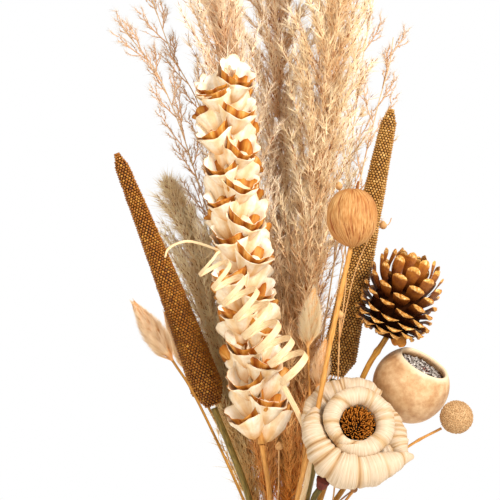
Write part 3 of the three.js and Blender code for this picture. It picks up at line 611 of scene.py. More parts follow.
def nut_finish():
    """A fibrous shell: threads from pole to pole, with painted shade in broken furrows between them and in
    the hollows of the shell's relief.
    """
    f = Finish("nut_shell", 0.62, gloss=0.25)
    across, along = f.read("across"), f.read("along")
    turn = f.math("ADD", across, f.math("MULTIPLY", f.cloud(60, 2.0), 0.03))
    thread_place = f.joined(f.math("MULTIPLY", turn, 120.0), f.math("MULTIPLY", along, 3.0))
    threads = f.cloud(1.0, 3.0, thread_place)
    furrow_place = f.joined(f.math("MULTIPLY", turn, 54.0), f.math("MULTIPLY", along, 1.4), 5.0)
    furrows = f.cloud(1.0, 1.0, furrow_place)
    # Painted shade in the furrows and where the shell's relief dips.
    deep = f.math("ADD", f.math("MULTIPLY", furrows, 0.6), f.math("MULTIPLY", f.read("tone"), 0.4))
    dark, middle, light = linear(168, 113, 57), linear(197, 146, 88), linear(224, 184, 128)
    shell = f.ramp(threads, (0.28, dark), (0.5, middle), (0.75, light))
    furrow_shade = f.ramp(deep, (0.34, linear(190, 130, 78)), (0.5, WHITE))
    clouds = f.ramp(f.cloud(55, 3.0), (0.35, linear(236, 214, 192)), (0.65, WHITE))
    f.relief(f.mixed(0.5, threads, furrow_shade), 0.8, 0.8)
    return f.done(f.mixed(1.0, f.mixed(0.9, shell, furrow_shade, "MULTIPLY"), clouds, "MULTIPLY"))


def cone_finish():
    """Woody scales: painted shade, near black, deep inside the cone, golden brown further out and near the
    top, with worn pale ends.
    """
    f = Finish("cone_scale", 0.5, coat=0.03, gloss=0.22)
    # Near-black colour towards each scale's root is painted shade deep inside the cone.
    inner, mid, outer = linear(20, 6, 1), linear(58, 24, 4), linear(112, 58, 12)
    low = f.ramp(f.read("along"), (0.2, inner), (0.6, mid), (0.86, outer))
    inner, mid, outer = linear(56, 22, 2), linear(124, 62, 8), linear(168, 98, 20)
    high = f.ramp(f.read("along"), (0.2, inner), (0.6, mid), (0.86, outer))
    wood_and_root_shade = f.mixed(f.ramp(f.read("tone"), (0.5, BLACK), (0.9, WHITE)), low, high)
    lively = f.ramp(f.cloud(210, 4.0), (0.3, linear(190, 160, 130)), (0.65, WHITE))
    dark, middle, light = linear(170, 106, 34), linear(218, 160, 80), linear(250, 216, 156)
    worn = f.ramp(f.cloud(480, 3.0), (0.32, dark), (0.52, middle), (0.7, light))
    ragged = f.math("MULTIPLY", f.math("SUBTRACT", f.cloud(300, 3.0), 0.5), 0.1)
    share = f.ramp(f.math("ADD", f.read("along"), ragged), (0.9, BLACK), (0.935, WHITE))
    f.relief(f.cloud(700, 3.0), 0.3, 0.7)
    return f.done(f.mixed(share, f.mixed(1.0, wood_and_root_shade, lively, "MULTIPLY"), worn))


def cup_finish():
    """A bleached shell: soft clouds, fine pores and a paler lip."""
    f = Finish("cup_shell", 0.48, gloss=0.4)
    dark, middle, light = linear(171, 124, 81), linear(196, 153, 108), linear(221, 188, 145)
    clouds = f.ramp(f.cloud(110, 6.0, roughness=0.65), (0.3, dark), (0.46, middle), (0.66, light))
    pores = f.ramp(f.cells(520), (0.07, linear(196, 140, 84)), (0.16, WHITE))
    few = f.ramp(f.cloud(150, 2.0), (0.5, BLACK), (0.62, WHITE))
    lip = f.ramp(f.read("along"), (0.93, BLACK), (1.0, WHITE))
    f.relief(f.cloud(900, 4.0), 0.25, 0.5)
    shell = f.mixed(f.math("MULTIPLY", few, 0.8), clouds, f.mixed(1.0, clouds, pores, "MULTIPLY"))
    return f.done(f.mixed(f.math("MULTIPLY", lip, 0.7), shell, linear(250, 232, 200)))


def husk_finish():
    """Corn husk: cream, with fine ribs across the roll and painted tan shade in the folds."""
    f = Finish("corn_husk", 0.5, gloss=0.3)
    across = f.math("MULTIPLY", f.read("across"), 2.6)
    ribs = f.cloud(1.0, 4.0, f.joined(f.math("MULTIPLY", f.read("along"), 150.0), across))
    dark, middle, light = linear(180, 152, 118), linear(204, 182, 154), linear(224, 208, 186)
    cream = f.ramp(ribs, (0.25, dark), (0.5, middle), (0.75, light))
    # Painted shade in the folds, set by the tone that husk_roll gives.
    deep, shallow = linear(170, 124, 66), linear(236, 218, 188)
    fold_shade = f.ramp(f.read("tone"), (0.0, deep), (0.5, shallow), (0.85, WHITE))
    f.relief(ribs, 0.5, 0.7)
    return f.done(f.mixed(1.0, cream, fold_shade, "MULTIPLY"))


def pith_finish():
    """Grey crumb, with painted near-black shade for its gaps, and a few reddish flakes."""
    f = Finish("cup_pith", 0.9)
    dark, middle, light = linear(40, 28, 22), linear(120, 108, 100), linear(235, 228, 220)
    # The darkest stop of this noise is painted shade for the gaps between crumbs.
    bits_and_gap_shade = f.ramp(f.cloud(330, 4.0, roughness=0.7), (0.36, dark), (0.47, middle), (0.6, light))
    red = f.ramp(f.cloud(120, 1.0), (0.62, WHITE), (0.72, linear(200, 110, 90)))
    f.relief(f.cloud(600, 4.0), 0.8, 1.0)
    return f.done(f.mixed(0.8, bits_and_gap_shade, red, "MULTIPLY"))


# Vase and stems


def make_vase():
    """The vase: a foot ring, the outer wall up to a rounded lip, and the inner wall down to the floor."""
    outside = Line(
        [
            (FOOT_RADIUS, 0, 0),
            (BELLY_RADIUS, 0, BELLY_HEIGHT),
            (NECK_RADIUS, 0, NECK_HEIGHT),
            (LIP_RADIUS, 0, VASE_HEIGHT),
        ]
    ).at(np.linspace(0, 1, 36))
    outside[:, 0] = np.minimum(outside[:, 0], BELLY_RADIUS)
    walls = [(p[0], p[2]) for p in outside]
    outer = [(r, z) for r, z in walls if z > 2.5]
    inner = [(r - VASE_WALL, z) for r, z in walls if z > VASE_FLOOR + 4]
    foot = [
        (0.0, FOOT_LIFT),
        (FOOT_RADIUS - 9, FOOT_LIFT),
        (FOOT_RADIUS - 7, 0.0),
        (FOOT_RADIUS - 2, 0.0),
        (FOOT_RADIUS + 0.2, FOOT_LIFT),
    ]
    lip = [
        (LIP_RADIUS - 1, VASE_HEIGHT + 1.3),
        (LIP_RADIUS - 2.5, VASE_HEIGHT + 1.7),
        (LIP_RADIUS - 4, VASE_HEIGHT + 1.2),
    ]
    floor = [(FOOT_RADIUS - 14, VASE_FLOOR), (0.0, VASE_FLOOR)]
    mesh = turned(foot + outer + lip + inner[::-1] + floor, 72)
    bmesh.ops.recalc_face_normals(mesh, faces=mesh.faces[:])
    corners, faces = shape_of(mesh)
    heap = Heap()
    heap.add(corners, faces)
    return heap.piece("stoneware_vase", [STONEWARE], "vase", "stoneware")


def make_stem(name, place, points, radius, finish, slot, joints=0, seed=1):
    """A stem, thicker at its joints, that runs up from its place in the vase and then by the points."""
    random = np.random.default_rng(seed)
    line = Line(root_points(*place) + points)
    places = random.uniform(0.45, 0.97, joints)

    def reach(share, angle):
        swell = np.ones_like(share)
        for joint in places:
            swell += 0.28 * np.exp(-(((share - joint) / 0.006) ** 2))
        return radius * swell * (1 + 0.05 * np.sin(3 * angle + 9 * share))

    corners, faces, share, round_it = swept(rod(9, 110), line, reach)
    heap = Heap()
    heap.add(corners, faces, share * line.length / 60, round_it)
    return heap.piece(name + "_piece", [finish], name, slot)


# Plumes and reeds


def on_bow(start, knee, stop, share):
    """Points and headings at shares of bows that run from start towards their knee and on to stop."""
    v = share[:, None]
    points = (1 - v) ** 2 * start + 2 * v * (1 - v) * knee + v**2 * stop
    return points, direction(2 * (1 - v) * (knee - start) + 2 * v * (stop - knee))


def leant(heading, turn, lean):
    """Each heading, leant over by an angle towards a side."""
    lean = lean[:, None]
    return direction(heading * np.cos(lean) + spread_from(heading, turn) * np.sin(lean))


def plume_swell(along):
    """How far a plume swells out at each share of its length, against its half width."""
    return (0.34 + 0.66 * along**0.7) * np.minimum(1, (1 - along) / 0.16) ** 0.55


def plume_branches(random, line, half_width, branches, room):
    """Roots, middles, tips and reach of branches that leave a plume's line all round and curve up."""
    index = np.arange(branches)
    along = 0.95 * ((index + 0.5) / branches) ** 1.1
    climb = random.uniform(*BRANCH_CLIMB, branches) * (1.1 - 0.5 * along) / line.length
    end = 1 - (1 - along) * np.exp(-climb / (1 - along))
    angle = index * GOLDEN_ANGLE + random.uniform(0, 0.6, branches)
    out = np.stack([np.cos(angle), np.sin(angle), np.zeros(branches)], -1)
    reach = half_width * plume_swell(end) * random.uniform(0.02, 1.12, branches) ** 0.62
    middle = line.at(along + 0.45 * (end - along)) + out * (0.52 * reach)[:, None]
    tip = line.at(end) + out * reach[:, None]
    return line.at(along), kept_in(middle, room), kept_under(kept_in(tip, room), BUNCH_TOP), reach


def plume_tufts(random, root, middle, tip):
    """For each tuft: its branch, its share of it, its foot, its turn and the way it points."""
    branches = len(root)
    host = np.repeat(np.arange(branches), PLUME_TUFTS)
    tufts = len(host)
    share = (np.tile(np.arange(PLUME_TUFTS), branches) + random.uniform(0, 1, tufts)) / PLUME_TUFTS
    share = 0.06 + 0.94 * share
    base, heading = on_bow(root[host], middle[host], tip[host], share)
    turn = random.uniform(0, TURN, tufts)
    return host, share, base, turn, leant(heading, turn, random.uniform(0.1, 0.5, tufts))


def add_seeds(heap, random, base, point):
    """Adds one small dark seed a little way up each tuft."""
    tufts = len(base)
    small = np.full(tufts, SEED_RADIUS)
    sizes = np.stack([small, small, random.uniform(*SEED_LENGTH, tufts)], -1)
    placed, faces = set_in(NEEDLE, base + point * random.uniform(3, 9, tufts)[:, None], point, sizes)
    heap.add(placed, faces, 0.1, 1, random.uniform(0, 1, tufts)[:, None], 2)


def add_hairs(heap, random, tufts, reach, half_width, room):
    """Adds the hairs of all tufts, with a tone each, and painted shade further in on the plume and further
    down.
    """
    _, share, base, turn, point = tufts
    owner = np.repeat(np.arange(len(base)), TUFT_HAIRS)
    hairs = len(owner)
    way = leant(point[owner], random.uniform(0, TURN, hairs), random.uniform(0.08, 0.8, hairs))
    start = base[owner] + way * random.uniform(-4, 4, hairs)[:, None]
    length = random.uniform(*HAIR_LENGTH, hairs) * (1.1 - 0.3 * share[owner])
    stop = start + way * length[:, None]
    wider_room = (np.array(room[0]) - 4, np.array(room[1]) + 4)
    stop = kept_under(kept_in(stop, wider_room, 4.0), BUNCH_TOP + 4)
    thick = random.uniform(*HAIR_RADIUS, hairs)
    placed, faces, t = bent(NEEDLE, start, (start + stop) / 2, stop, thick, 0.0, turn[owner])
    tone = np.clip(random.normal(0.5, 0.28, hairs), 0, 1)
    # Hairs further in on the plume take more of the darker root colour: painted shade deep in the plume.
    outward = np.clip(share[owner] * (0.4 + 0.6 * reach[owner] / half_width), 0, 1)
    # How far each hair ends above the painted low shade.
    high = np.clip((stop[:, 2] - SHADE_FADES_FROM) / SHADE_FADES_OVER, 0, 1)
    heap.add(placed, faces, 0.06 + (0.54 * outward)[:, None] + 0.4 * t, high[:, None], tone[:, None])


def make_plume(name, place, crown, low_end, half_width, branches, room, seed, finish):
    """A plume: its stalk, branches that fan up and out, and tufts of silky hair with a seed each."""
    random = np.random.default_rng(seed)
    stalk = Line(root_points(*place) + crown)
    corners, faces, share, round_it = swept(
        rod(8, 120), stalk, lambda s, a: PLUME_STALK_RADIUS * (1 - 0.72 * s)
    )
    heap = Heap()
    heap.add(corners, faces, share * 6, round_it, 0.5, 1)
    line = Line([low_end] + crown)
    root, middle, tip, reach = plume_branches(random, line, half_width, branches, room)
    placed, faces, t = bent(BRANCH, root, middle, tip, np.full(branches, BRANCH_RADIUS), 0.5)
    heap.add(placed, faces, 0.1 + 0.3 * t, 1, random.uniform(0, 0.5, branches)[:, None], 2)
    tufts = plume_tufts(random, root, middle, tip)
    host, _, base, _, point = tufts
    add_seeds(heap, random, base, point)
    add_hairs(heap, random, tufts, reach[host], half_width, room)
    finishes = [finish, STRAW_PALE, PLUME_SEED]
    return heap.piece(name + "_hair", finishes, name, "plume_hair", smooth=False)


def reed_twigs(random, line, seed, twigs, room):
    """Roots, middles and tips of a reed's twigs, the shorter the higher they sit."""
    index = np.arange(twigs)
    along = 0.04 + 0.93 * (index + 0.5) / twigs
    angle = index * GOLDEN_ANGLE + seed
    out = np.stack([np.cos(angle), 0.4 * np.sin(angle), np.zeros(twigs)], -1)
    length = TWIG_LENGTH * (1 - 0.62 * along) * random.uniform(0.7, 1.2, twigs)
    heading = line.heading(along)
    root = line.at(along)
    middle = root + heading * (0.45 * length)[:, None] + out * (0.34 * length)[:, None]
    tip = root + heading * (0.9 * length)[:, None] + out * (0.42 * length)[:, None]
    return root, kept_in(middle, room), kept_in(tip, room)


def reed_twiglets(random, root, middle, tip, seed):
    """Starts, knees and ends of the twiglets along all twigs."""
    twigs = len(root)
    owner = np.repeat(np.arange(twigs), REED_TWIGLETS)
    twiglets = len(owner)
    share = np.tile(np.linspace(0.2, 0.98, REED_TWIGLETS), twigs)
    start, way = on_bow(root[owner], middle[owner], tip[owner], share)
    away = spread_from(way, np.arange(twiglets) * 2.6 + seed)
    length = random.uniform(*TWIGLET_LENGTH, twiglets) * (1.1 - 0.5 * share)
    knee = start + way * (0.45 * length)[:, None] + away * (0.42 * length)[:, None]
    stop = start + way * length[:, None] + away * (0.4 * length)[:, None]
    return start, knee, stop


def add_chaff(heap, random, start, knee, stop, room):
    """Adds chaff along the twiglets, and fine down on each piece of chaff."""
    host = np.repeat(np.arange(len(start)), REED_CHAFFS)
    chaffs = len(host)
    base, way = on_bow(start[host], knee[host], stop[host], random.uniform(0.1, 1.0, chaffs))
    base = kept_in(base, room, 3.0)
    point = leant(way, random.uniform(0, TURN, chaffs), random.uniform(0.2, 0.8, chaffs))
    small = random.uniform(*CHAFF_RADIUS, chaffs)
    sizes = np.stack([small, small, random.uniform(*CHAFF_LENGTH, chaffs)], -1)
    placed, faces = set_in(NEEDLE, base, point, sizes)
    heap.add(placed, faces, 0.4, 0, random.uniform(0, 1, chaffs)[:, None])

    owner = np.repeat(np.arange(chaffs), REED_DOWNS)
    downs = len(owner)
    way = leant(point[owner], random.uniform(0, TURN, downs), random.uniform(0.1, 0.5, downs))
    end = base[owner] + way * random.uniform(*DOWN_LENGTH, downs)[:, None]
    middle = (base[owner] + end) / 2
    placed, faces, t = bent(NEEDLE, base[owner], middle, end, np.full(downs, DOWN_RADIUS), 0.0)
    heap.add(placed, faces, 0.7 + 0.3 * t, 0, random.uniform(0.5, 1, downs)[:, None])


def make_reed(name, place, crown, room, seed, twigs):
    """An open reed spray: a thin stalk, twigs that curve up, and twiglets with chaff and down."""
    random = np.random.default_rng(seed)
    stalk = Line(root_points(*place) + crown)
    corners, faces, share, round_it = swept(
        rod(6, 110), stalk, lambda s, a: REED_STALK_RADIUS * (1 - 0.7 * s)
    )
    heap = Heap()
    heap.add(corners, faces, share * 6, round_it, 0.4, 1)
    root, middle, tip = reed_twigs(random, Line(crown), seed, twigs, room)
    placed, faces, t = bent(BRANCH, root, middle, tip, np.full(twigs, TWIG_RADIUS), 0.45)
    heap.add(placed, faces, 0.1 + 0.2 * t, 0, 0.5)
    start, knee, stop = reed_twiglets(random, root, middle, tip, seed)
    thick = np.full(len(start), TWIGLET_RADIUS)
    placed, faces, t = bent(FINE_NEEDLE, start, knee, stop, thick, 0.3)
    heap.add(placed, faces, 0.2 + 0.3 * t, 0, 0.5)
    add_chaff(heap, random, start, knee, stop, room)
    return heap.piece(name + "_twigs", [REED_CHAFF, STRAW_PALE], name, "reed_straw")


# Millet and bunny tails


def make_millet(name, base, tip, bulge, base_radius, tip_radius, seed, grains, core, slot):
    """A millet head: close slanting rows of grains on a core painted dark, as shade in the gaps between
    them.
    """
    random = np.random.default_rng(seed)
    base, tip = np.array(base, float), np.array(tip, float)
    line = Line([base, (base + tip) / 2 + np.array(bulge) / 2, tip])

    def body(share):
        ends = np.minimum(1, np.minimum(0.45 + 9 * share, 0.35 + 14 * (1 - share)))
        return (base_radius + (tip_radius - base_radius) * share) * ends

    heap = Heap()
    corners, faces, share, round_it = swept(rod(20, 80), line, lambda s, a: body(s) - 0.7)
    heap.add(corners, faces, share, round_it, 0.5, 1)
    centres, ups, sizes = [], [], []
    rows = int(line.length / (0.8 * GRAIN_PITCH))
    for row in range(rows + 1):
        share = min(1.0, max(0.0, (row + 0.1) / rows))
        radius = body(share)
        count = max(8, 4 * round(TURN * radius / (4.2 * GRAIN_PITCH)))
        turn = (np.arange(count) + 0.5 * (row % 2)) * TURN / count + random.normal(0, 0.012, count)
        heading = np.repeat(line.heading(np.array([share])), count, axis=0)
        away = spread_from(heading, turn)
        along = np.clip(share + random.normal(0, 0.03, count) * GRAIN_PITCH / line.length, 0, 1)
        centres.append(line.at(along) + away * (radius - 0.1 + random.normal(0, 0.1, count))[:, None])
        tilt = 0.35 + 0.9 * max(0, share - 0.97) / 0.03 - 0.9 * max(0, 0.015 - share) / 0.015
        ups.append(direction(away + heading * tilt))
        size = 0.5 * GRAIN_PITCH * random.uniform(0.86, 1.02, count)
        sizes.append(np.stack([size, size, size * 1.15], -1))
    centres, ups, sizes = (np.concatenate(part) for part in (centres, ups, sizes))
    placed, faces = set_in(GRAIN, centres, ups, sizes, random.uniform(0, TURN, len(ups)))
    high = (GRAIN[0][:, 2] + 1) / 2
    tone = np.clip(random.normal(0.5, 0.14, len(ups)), 0, 1)
    heap.add(placed, faces, high[None, :], 0, tone[:, None])
    return heap.piece(name + "_grains", [grains, core], name, slot)


def make_tail(name, base, tip, radius, seed, hairs, finish, fluff):
    """A bunny tail: silky hair swept up a plump head, with fluff standing out of it."""
    random = np.random.default_rng(seed)
    base, tip = np.array(base, float), np.array(tip, float)
    line = Line([base, (base + tip) / 2, tip])

    def body(share):
        share = np.clip(share, 0, 1)
        return radius * np.sin(math.pi * (0.05 + 0.9 * share) ** 0.8)

    heap = Heap()
    foot = base - TAIL_FOOT * direction(tip - base)
    inside = Line([foot, base, (base + tip) / 2, tip])
    corners, faces, share, round_it = swept(
        rod(14, 24), inside, lambda s, a: 0.6 * body(1.06 * s - 0.06) * s**0.3 + 0.5
    )
    # The inner body takes the darker root colour: painted shade inside the tail.
    heap.add(corners, faces, 0.1, round_it, 0.2)
    tufts = random.integers(0, TAIL_TUFTS, hairs)
    turn = tufts * GOLDEN_ANGLE + random.normal(0, 0.2, hairs)
    share = np.clip((tufts + 0.5) / TAIL_TUFTS * 0.84 + random.normal(0, 0.01, hairs), 0, 0.97)
    away = spread_from(line.heading(share), turn)
    length = random.uniform(0.16, 0.32, hairs)
    stands = random.uniform(0, 1, hairs) < fluff
    rise = np.where(stands, random.uniform(1.05, 1.3, hairs), random.uniform(0.86, 1.03, hairs))
    start = line.at(share) + away * (0.42 * body(share))[:, None]
    stop = line.at(share + length) + away * (rise * body(share + length))[:, None]
    stop += line.heading(share) * (np.maximum(0, share + length - 1) * 0.45 * line.length)[:, None]
    thick = np.where(stands, TAIL_FLUFF_RADIUS, TAIL_HAIR_RADIUS) * random.uniform(0.8, 1.2, hairs)
    placed, faces, t = bent(NEEDLE, start, (start + stop) / 2, stop, thick, 0.0, turn)
    tone = np.clip(random.normal(0.5, 0.25, hairs), 0, 1)
    heap.add(placed, faces, 0.1 + 0.9 * t, 0, tone[:, None])
    return heap.piece(name + "_down", [finish], name, "tail_down", smooth=False)


# Bells and cane


def looks_out(face):
    """Whether a face of a cup's wall looks away from the cup's middle line."""
    centre = face.calc_center_median()
    away = Vector((centre.x, centre.y, 0))
    away = away.normalized() if away.length > 0.3 else Vector((0, 0, 0))
    away.z = -0.3
    return face.normal.dot(away) > 0


def papery_cup(profile, lobes, seed, pleat, wave, sharp):
    """A papery cup that opens along Z, pleated in lobes: its corners, faces, outside faces and lobes."""
    random = np.random.default_rng(seed)
    mesh = turned(profile, LOBE_STEPS * lobes, 0.01)
    foot_height = profile[0][1] + 0.01
    foot = [e for e in mesh.edges if e.is_boundary and max(v.co.z for v in e.verts) < foot_height]
    bmesh.ops.holes_fill(mesh, edges=foot)
    bmesh.ops.recalc_face_normals(mesh, faces=mesh.faces[:])
    if max(mesh.faces, key=lambda f: len(f.verts)).normal.z > 0:
        bmesh.ops.reverse_faces(mesh, faces=mesh.faces[:])
    phases = random.uniform(0, TURN, 4)
    heights = random.uniform(0.5, 1.2, lobes)
    rim_height = profile[-1][1]

    def lobe_of(x, y):
        step = (math.atan2(y, x) / TURN + 0.5) * lobes + phases[0]
        return int(step) % lobes, math.sin(math.pi * (step % 1)) ** sharp

    for v in mesh.verts:
        turn = math.atan2(v.co.y, v.co.x)
        share = v.co.z / rim_height
        number, lobe = lobe_of(v.co.x, v.co.y)
        broad = 0.6 * math.sin(2 * turn + phases[1]) + 0.4 * math.sin(3 * turn + phases[2])
        crumple = noise.noise(Vector((v.co.x, v.co.y, v.co.z)) * 0.14 + Vector((seed * 7.1, 0, 0)))
        scale = 1 + share * (pleat * (lobe - 0.6) + 0.07 * share * broad) + 0.24 * share * crumple
        v.co.x *= scale
        v.co.y *= scale
        v.co.z += share**4 * wave * (lobe * heights[number] + 0.5 * broad)
    bmesh.ops.recalc_face_normals(mesh, faces=mesh.faces[:])
    bmesh.ops.solidify(mesh, geom=mesh.faces[:], thickness=PAPER_THICKNESS)
    bmesh.ops.recalc_face_normals(mesh, faces=mesh.faces[:])
    bmesh.ops.triangulate(mesh, faces=mesh.faces[:])
    outside = [looks_out(face) for face in mesh.faces]
    corners, faces = shape_of(mesh)
    crest = np.array([lobe_of(x, y)[1] for x, y, z in corners])
    return corners, faces, np.array(outside), crest


def bell_places(random):
    """Each bell's share of the spike, its turn round it, how steeply it rises, and its size."""
    places = []
    for pair in range(BELL_PAIRS):
        for half in (0, 0.5):
            along = 0.01 + 0.855 * pair / (BELL_PAIRS - 1) + random.normal(0, 0.005)
            turn = TURN * (0.125 + half + 0.25 * (pair % 2)) + random.normal(0, 0.22)
            rise = 1.22 + 0.1 * along + random.normal(0, 0.09)
            places.append((along, turn, rise, 1.03 - 0.1 * along))
    places.append((0.87, 3.9, 1.25, 0.9))
    places.append((0.9, 5.5, 1.3, 0.92))
    return places


def make_bells():
    """Papery bells in crossed pairs up a spike: each a golden bell, white inside, in a cream cup."""
    random = np.random.default_rng(41)
    low = [(-20, -20, 284), (-26, -20, 330), (-33, -20, 392)]
    line = Line(low + [(-43, -20, 465), (-46, -20, 530), (-46.5, -20, 564)])
    heap = Heap()
    corners, faces, share, round_it = swept(rod(9, 60, pointed=True), line, lambda s, a: 2.8 - 1.4 * s)
    heap.add(corners, faces, share * 5, round_it, 0.4, 3)
    bells = [papery_cup(BELL_PROFILE, BELL_LOBES, seed, 0.17, 3.4, 0.75) for seed in range(12)]
    cups = [papery_cup(CUP_PROFILE, CUP_LOBES, seed + 40, 0.12, 3.6, 0.9) for seed in range(8)]
    for number, (along, turn, rise, size) in enumerate(bell_places(random)):
        size *= random.uniform(0.93, 1.08)
        out = np.array([math.cos(turn), math.sin(turn), 0.0])
        root = line.at(np.array(max(0.0, along))) + out * (BELL_ROOT_X, BELL_ROOT_Y, 0)
        out = direction(out * (BELL_FACING, 1, 0))
        up = direction(out * math.cos(rise) + np.array([0.1 * math.cos(turn), 0, math.sin(rise)]))
        spin = np.array([random.uniform(0, TURN)])
        tone = random.uniform(0, 1)
        for shapes, inside, outside, lean in ((bells, 0, 1, BELL_SLANT), (cups, 2, 2, CUP_SLANT)):
            corners, faces, is_outside, crest = shapes[(number * 5) % len(shapes)]
            placed, faces = set_in((corners, faces), root[None], up[None], [[size, size, size]], spin)
            share = np.clip(corners[:, 2] / corners[:, 2].max(), 0, 1)
            outward = direction(out - up * out.dot(up))
            slant = lean * share**2 * ((placed[0] - root) @ outward)
            placed = placed - up * slant[:, None]
            round_it = np.arctan2(corners[:, 1], corners[:, 0]) / TURN + 3.0 * number
            finish = np.where(is_outside, outside, inside)
            # crest sets the painted shade in the valleys between lobes.
            heap.add(placed, faces, share, round_it, crest - 0.25 * tone, finish)
    finishes = [BELL_WHITE, BELL_GOLD, BELL_CREAM, STRAW_GOLD]
    return heap.piece("bell_spike_bells", finishes, "bell_spike", "bell_paper")


def cane_coil(top, foot, axis):
    """The coil's points from its top to its foot, with turns of uneven width and spacing."""
    side = np.array([-axis[2], 0, axis[0]])
    tilted = 0.99 * np.array([0, -1.0, 0]) + 0.1 * axis
    random = np.random.default_rng(12)
    share = np.linspace(0, 1, int(CANE_TURNS * 16))
    knots = np.linspace(0, 1, int(2 * CANE_TURNS) + 1)
    wide = np.interp(share, knots, random.uniform(0.84, 1.14, len(knots)))
    slip = np.interp(share, knots, random.normal(0, 0.011, len(knots)))
    reach = CANE_RADIUS * (0.78 + 0.22 * np.minimum(1, 3 * share)) * wide
    angle = TURN * CANE_TURNS * share
    coil = top + (foot - top) * (share + slip)[:, None]
    coil = coil + side * (reach * np.cos(angle))[:, None] + tilted * (0.95 * reach * np.sin(angle))[:, None]
    coil[-1] = coil[-1] + (foot - top) * (1 - share[-1] - slip[-1])
    return coil


def make_cane():
    """One flat strip of cane: up from the vase, wound like a corkscrew, and out to a loose thin end."""
    top, foot = np.array([-60, -62, 423.5]), np.array([5, -62, 340.0])
    axis = direction(foot - top)
    coil = cane_coil(top, foot, axis)
    loose = [(-89.7, -60, 422), (-87.5, -60, 428), (-80, -59, 432.5), (-70, -58, 433.5)]
    heap = Heap()
    line = Line(np.vstack([loose, coil[1:]]), 6)

    def width(s, a):
        grown = np.interp(s, [0, 0.1, 0.25, 0.6, 1], [0.3, 0.5, 0.85, 1.05, 1.1])
        return grown * (1 + 0.08 * np.sin(53 * s))

    corners, faces, s, round_it = swept(strip(420), line, width, hint=axis, flat=(0.45, 2.4))
    heap.add(corners, faces, s * 14, round_it)
    leg = Line(root_points(2, 9) + [(12, -30, 252), (15, -38, 280), (10, -46, 301), tuple(coil[-1])])
    corners, faces, s, round_it = swept(strip(90), leg, lambda s, a: np.ones_like(s), flat=(2.0, 0.7))
    heap.add(corners, faces, s * 6, round_it)
    return heap.piece("cane_curl_strip", [CANE], "cane_curl", "cane")


# Nut, cone, cup and button


def make_nut():
    """A fibrous nut on end, with long broken furrows from pole to pole and a small pin on top."""
    centre = np.array([45, -60, 451.5])
    corners, faces = ball(140, 46)
    turn = np.arctan2(corners[:, 1], corners[:, 0])
    height = corners[:, 2]
    leaning = turn + 0.1 * height + 0.06 * np.sin(3 * height + 2.0)
    spots = np.stack([5.2 * np.cos(leaning), 5.2 * np.sin(leaning), 0.9 * height], -1)
    ribs = np.array([noise.noise(Vector(spot)) for spot in spots])
    threads = np.abs(np.sin(19 * leaning + 3 * ribs)) ** 0.6
    relief = 0.6 * threads + 0.4 * np.clip(0.5 + ribs, 0, 1)
    wide = np.sqrt(np.maximum(0, 1 - np.abs(height) ** 2.2))
    reach = NUT_RADIUS * wide * (0.955 + 0.055 * relief)
    raised = NUT_HALF_HEIGHT * height - 0.8 * np.abs(height) ** 12
    placed = np.stack([reach * np.cos(turn), reach * np.sin(turn), raised], -1)
    heap = Heap()
    # The relief goes in as tone, for the painted shade in the shell's hollows.
    heap.add(centre + placed, faces, height, leaning / TURN, relief)
    pin = Line([centre + (3.4, 0, 19), centre + (4, 0, 23), centre + (4.6, 0, 26)])
    corners, faces, share, round_it = swept(rod(8, 12, pointed=True), pin, lambda s, a: 1.3 - 0.7 * s)
    heap.add(corners, faces, share, round_it, 0.1)
    return heap.piece("ribbed_nut_shell", [NUT_SHELL], "ribbed_nut", "nut_shell")


def cone_scale_shape():
    """A woody scale along Z, from 0 to 1: a thin blade and, at its end, a crescent, thick in its middle."""
    corners, faces = rod(12, 12)
    share = np.clip(corners[:, 2] + 0.5, 0, 1) ** 0.7
    x, y = corners[:, 0].copy(), corners[:, 1].copy()
    wide = np.interp(share, [0, 0.3, 0.7, 0.88, 0.95, 1], [0.4, 0.5, 0.76, 1.0, 0.98, 0.7])
    thick = np.interp(share, [0, 0.7, 0.85, 0.93, 0.98, 1], [0.09, 0.06, 0.09, 0.26, 0.26, 0.16])
    slim = 1 - np.abs(x) ** 1.6
    corners[:, 0] = x * wide
    corners[:, 1] = (y - 0.5 * np.clip((share - 0.75) / 0.15, 0, 1)) * thick * (0.12 + 0.88 * slim)
    corners[:, 2] = share - 0.05 * (1 - slim) * share**3
    return corners, faces, share


def cone_scale(heap, random, number, base, axis, shape):
    """Adds one scale at its place on the spiral, its blade bowed and rolled from root to tip."""
    corners, faces, share = shape
    steps, reaches, rises = zip(*CONE_OUTLINE)
    across = direction(np.cross(axis, [0, 1, 0]))
    along = ((number + 0.5) / CONE_SCALES) ** 1.1
    turn = number * GOLDEN_ANGLE
    out = across * math.cos(turn) + np.cross(axis, across) * math.sin(turn)
    reach = CONE_RADIUS * np.interp(along, steps, reaches)
    rise = CONE_HEIGHT * np.interp(along, steps, rises)
    top = base + axis * rise + out * reach * random.uniform(0.93, 1.03)
    root = base + axis * CONE_HEIGHT * (0.08 + 0.42 * along) + out * 2
    way = direction(top - root)
    face = direction(axis - way * axis.dot(way))
    side = np.cross(face, way)
    roll = CONE_TWIST + random.normal(0, 0.06)
    side, face = side * math.cos(roll) - face * math.sin(roll), face * math.cos(roll) + side * math.sin(roll)
    half = np.interp(along, [0, 0.15, 0.35, 0.6, 0.8, 1], [5.4, 6.8, 7.2, 6.4, 4.9, 4.0])
    half *= random.uniform(0.9, 1.1)
    long = np.linalg.norm(top - root)
    bow = long * np.interp(along, [0, 0.5, 1], [-0.05, -0.1, -0.22]) * np.sin(math.pi * share)
    bow = bow + np.interp(along, [0, 0.5, 1], [0.2, 0.16, 0.05]) * half * corners[:, 0] ** 2
    height = corners[:, 1] * np.interp(along, [0, 0.5, 0.75, 1], [5.6, 5.2, 2.6, 2.0]) + bow
    placed = root + side * (corners[:, 0] * half)[:, None] + face * height[:, None]
    placed = placed + way * (corners[:, 2] * long)[:, None]
    heap.add(placed, faces, share, corners[:, 0] * 0.5 + 0.5, along)


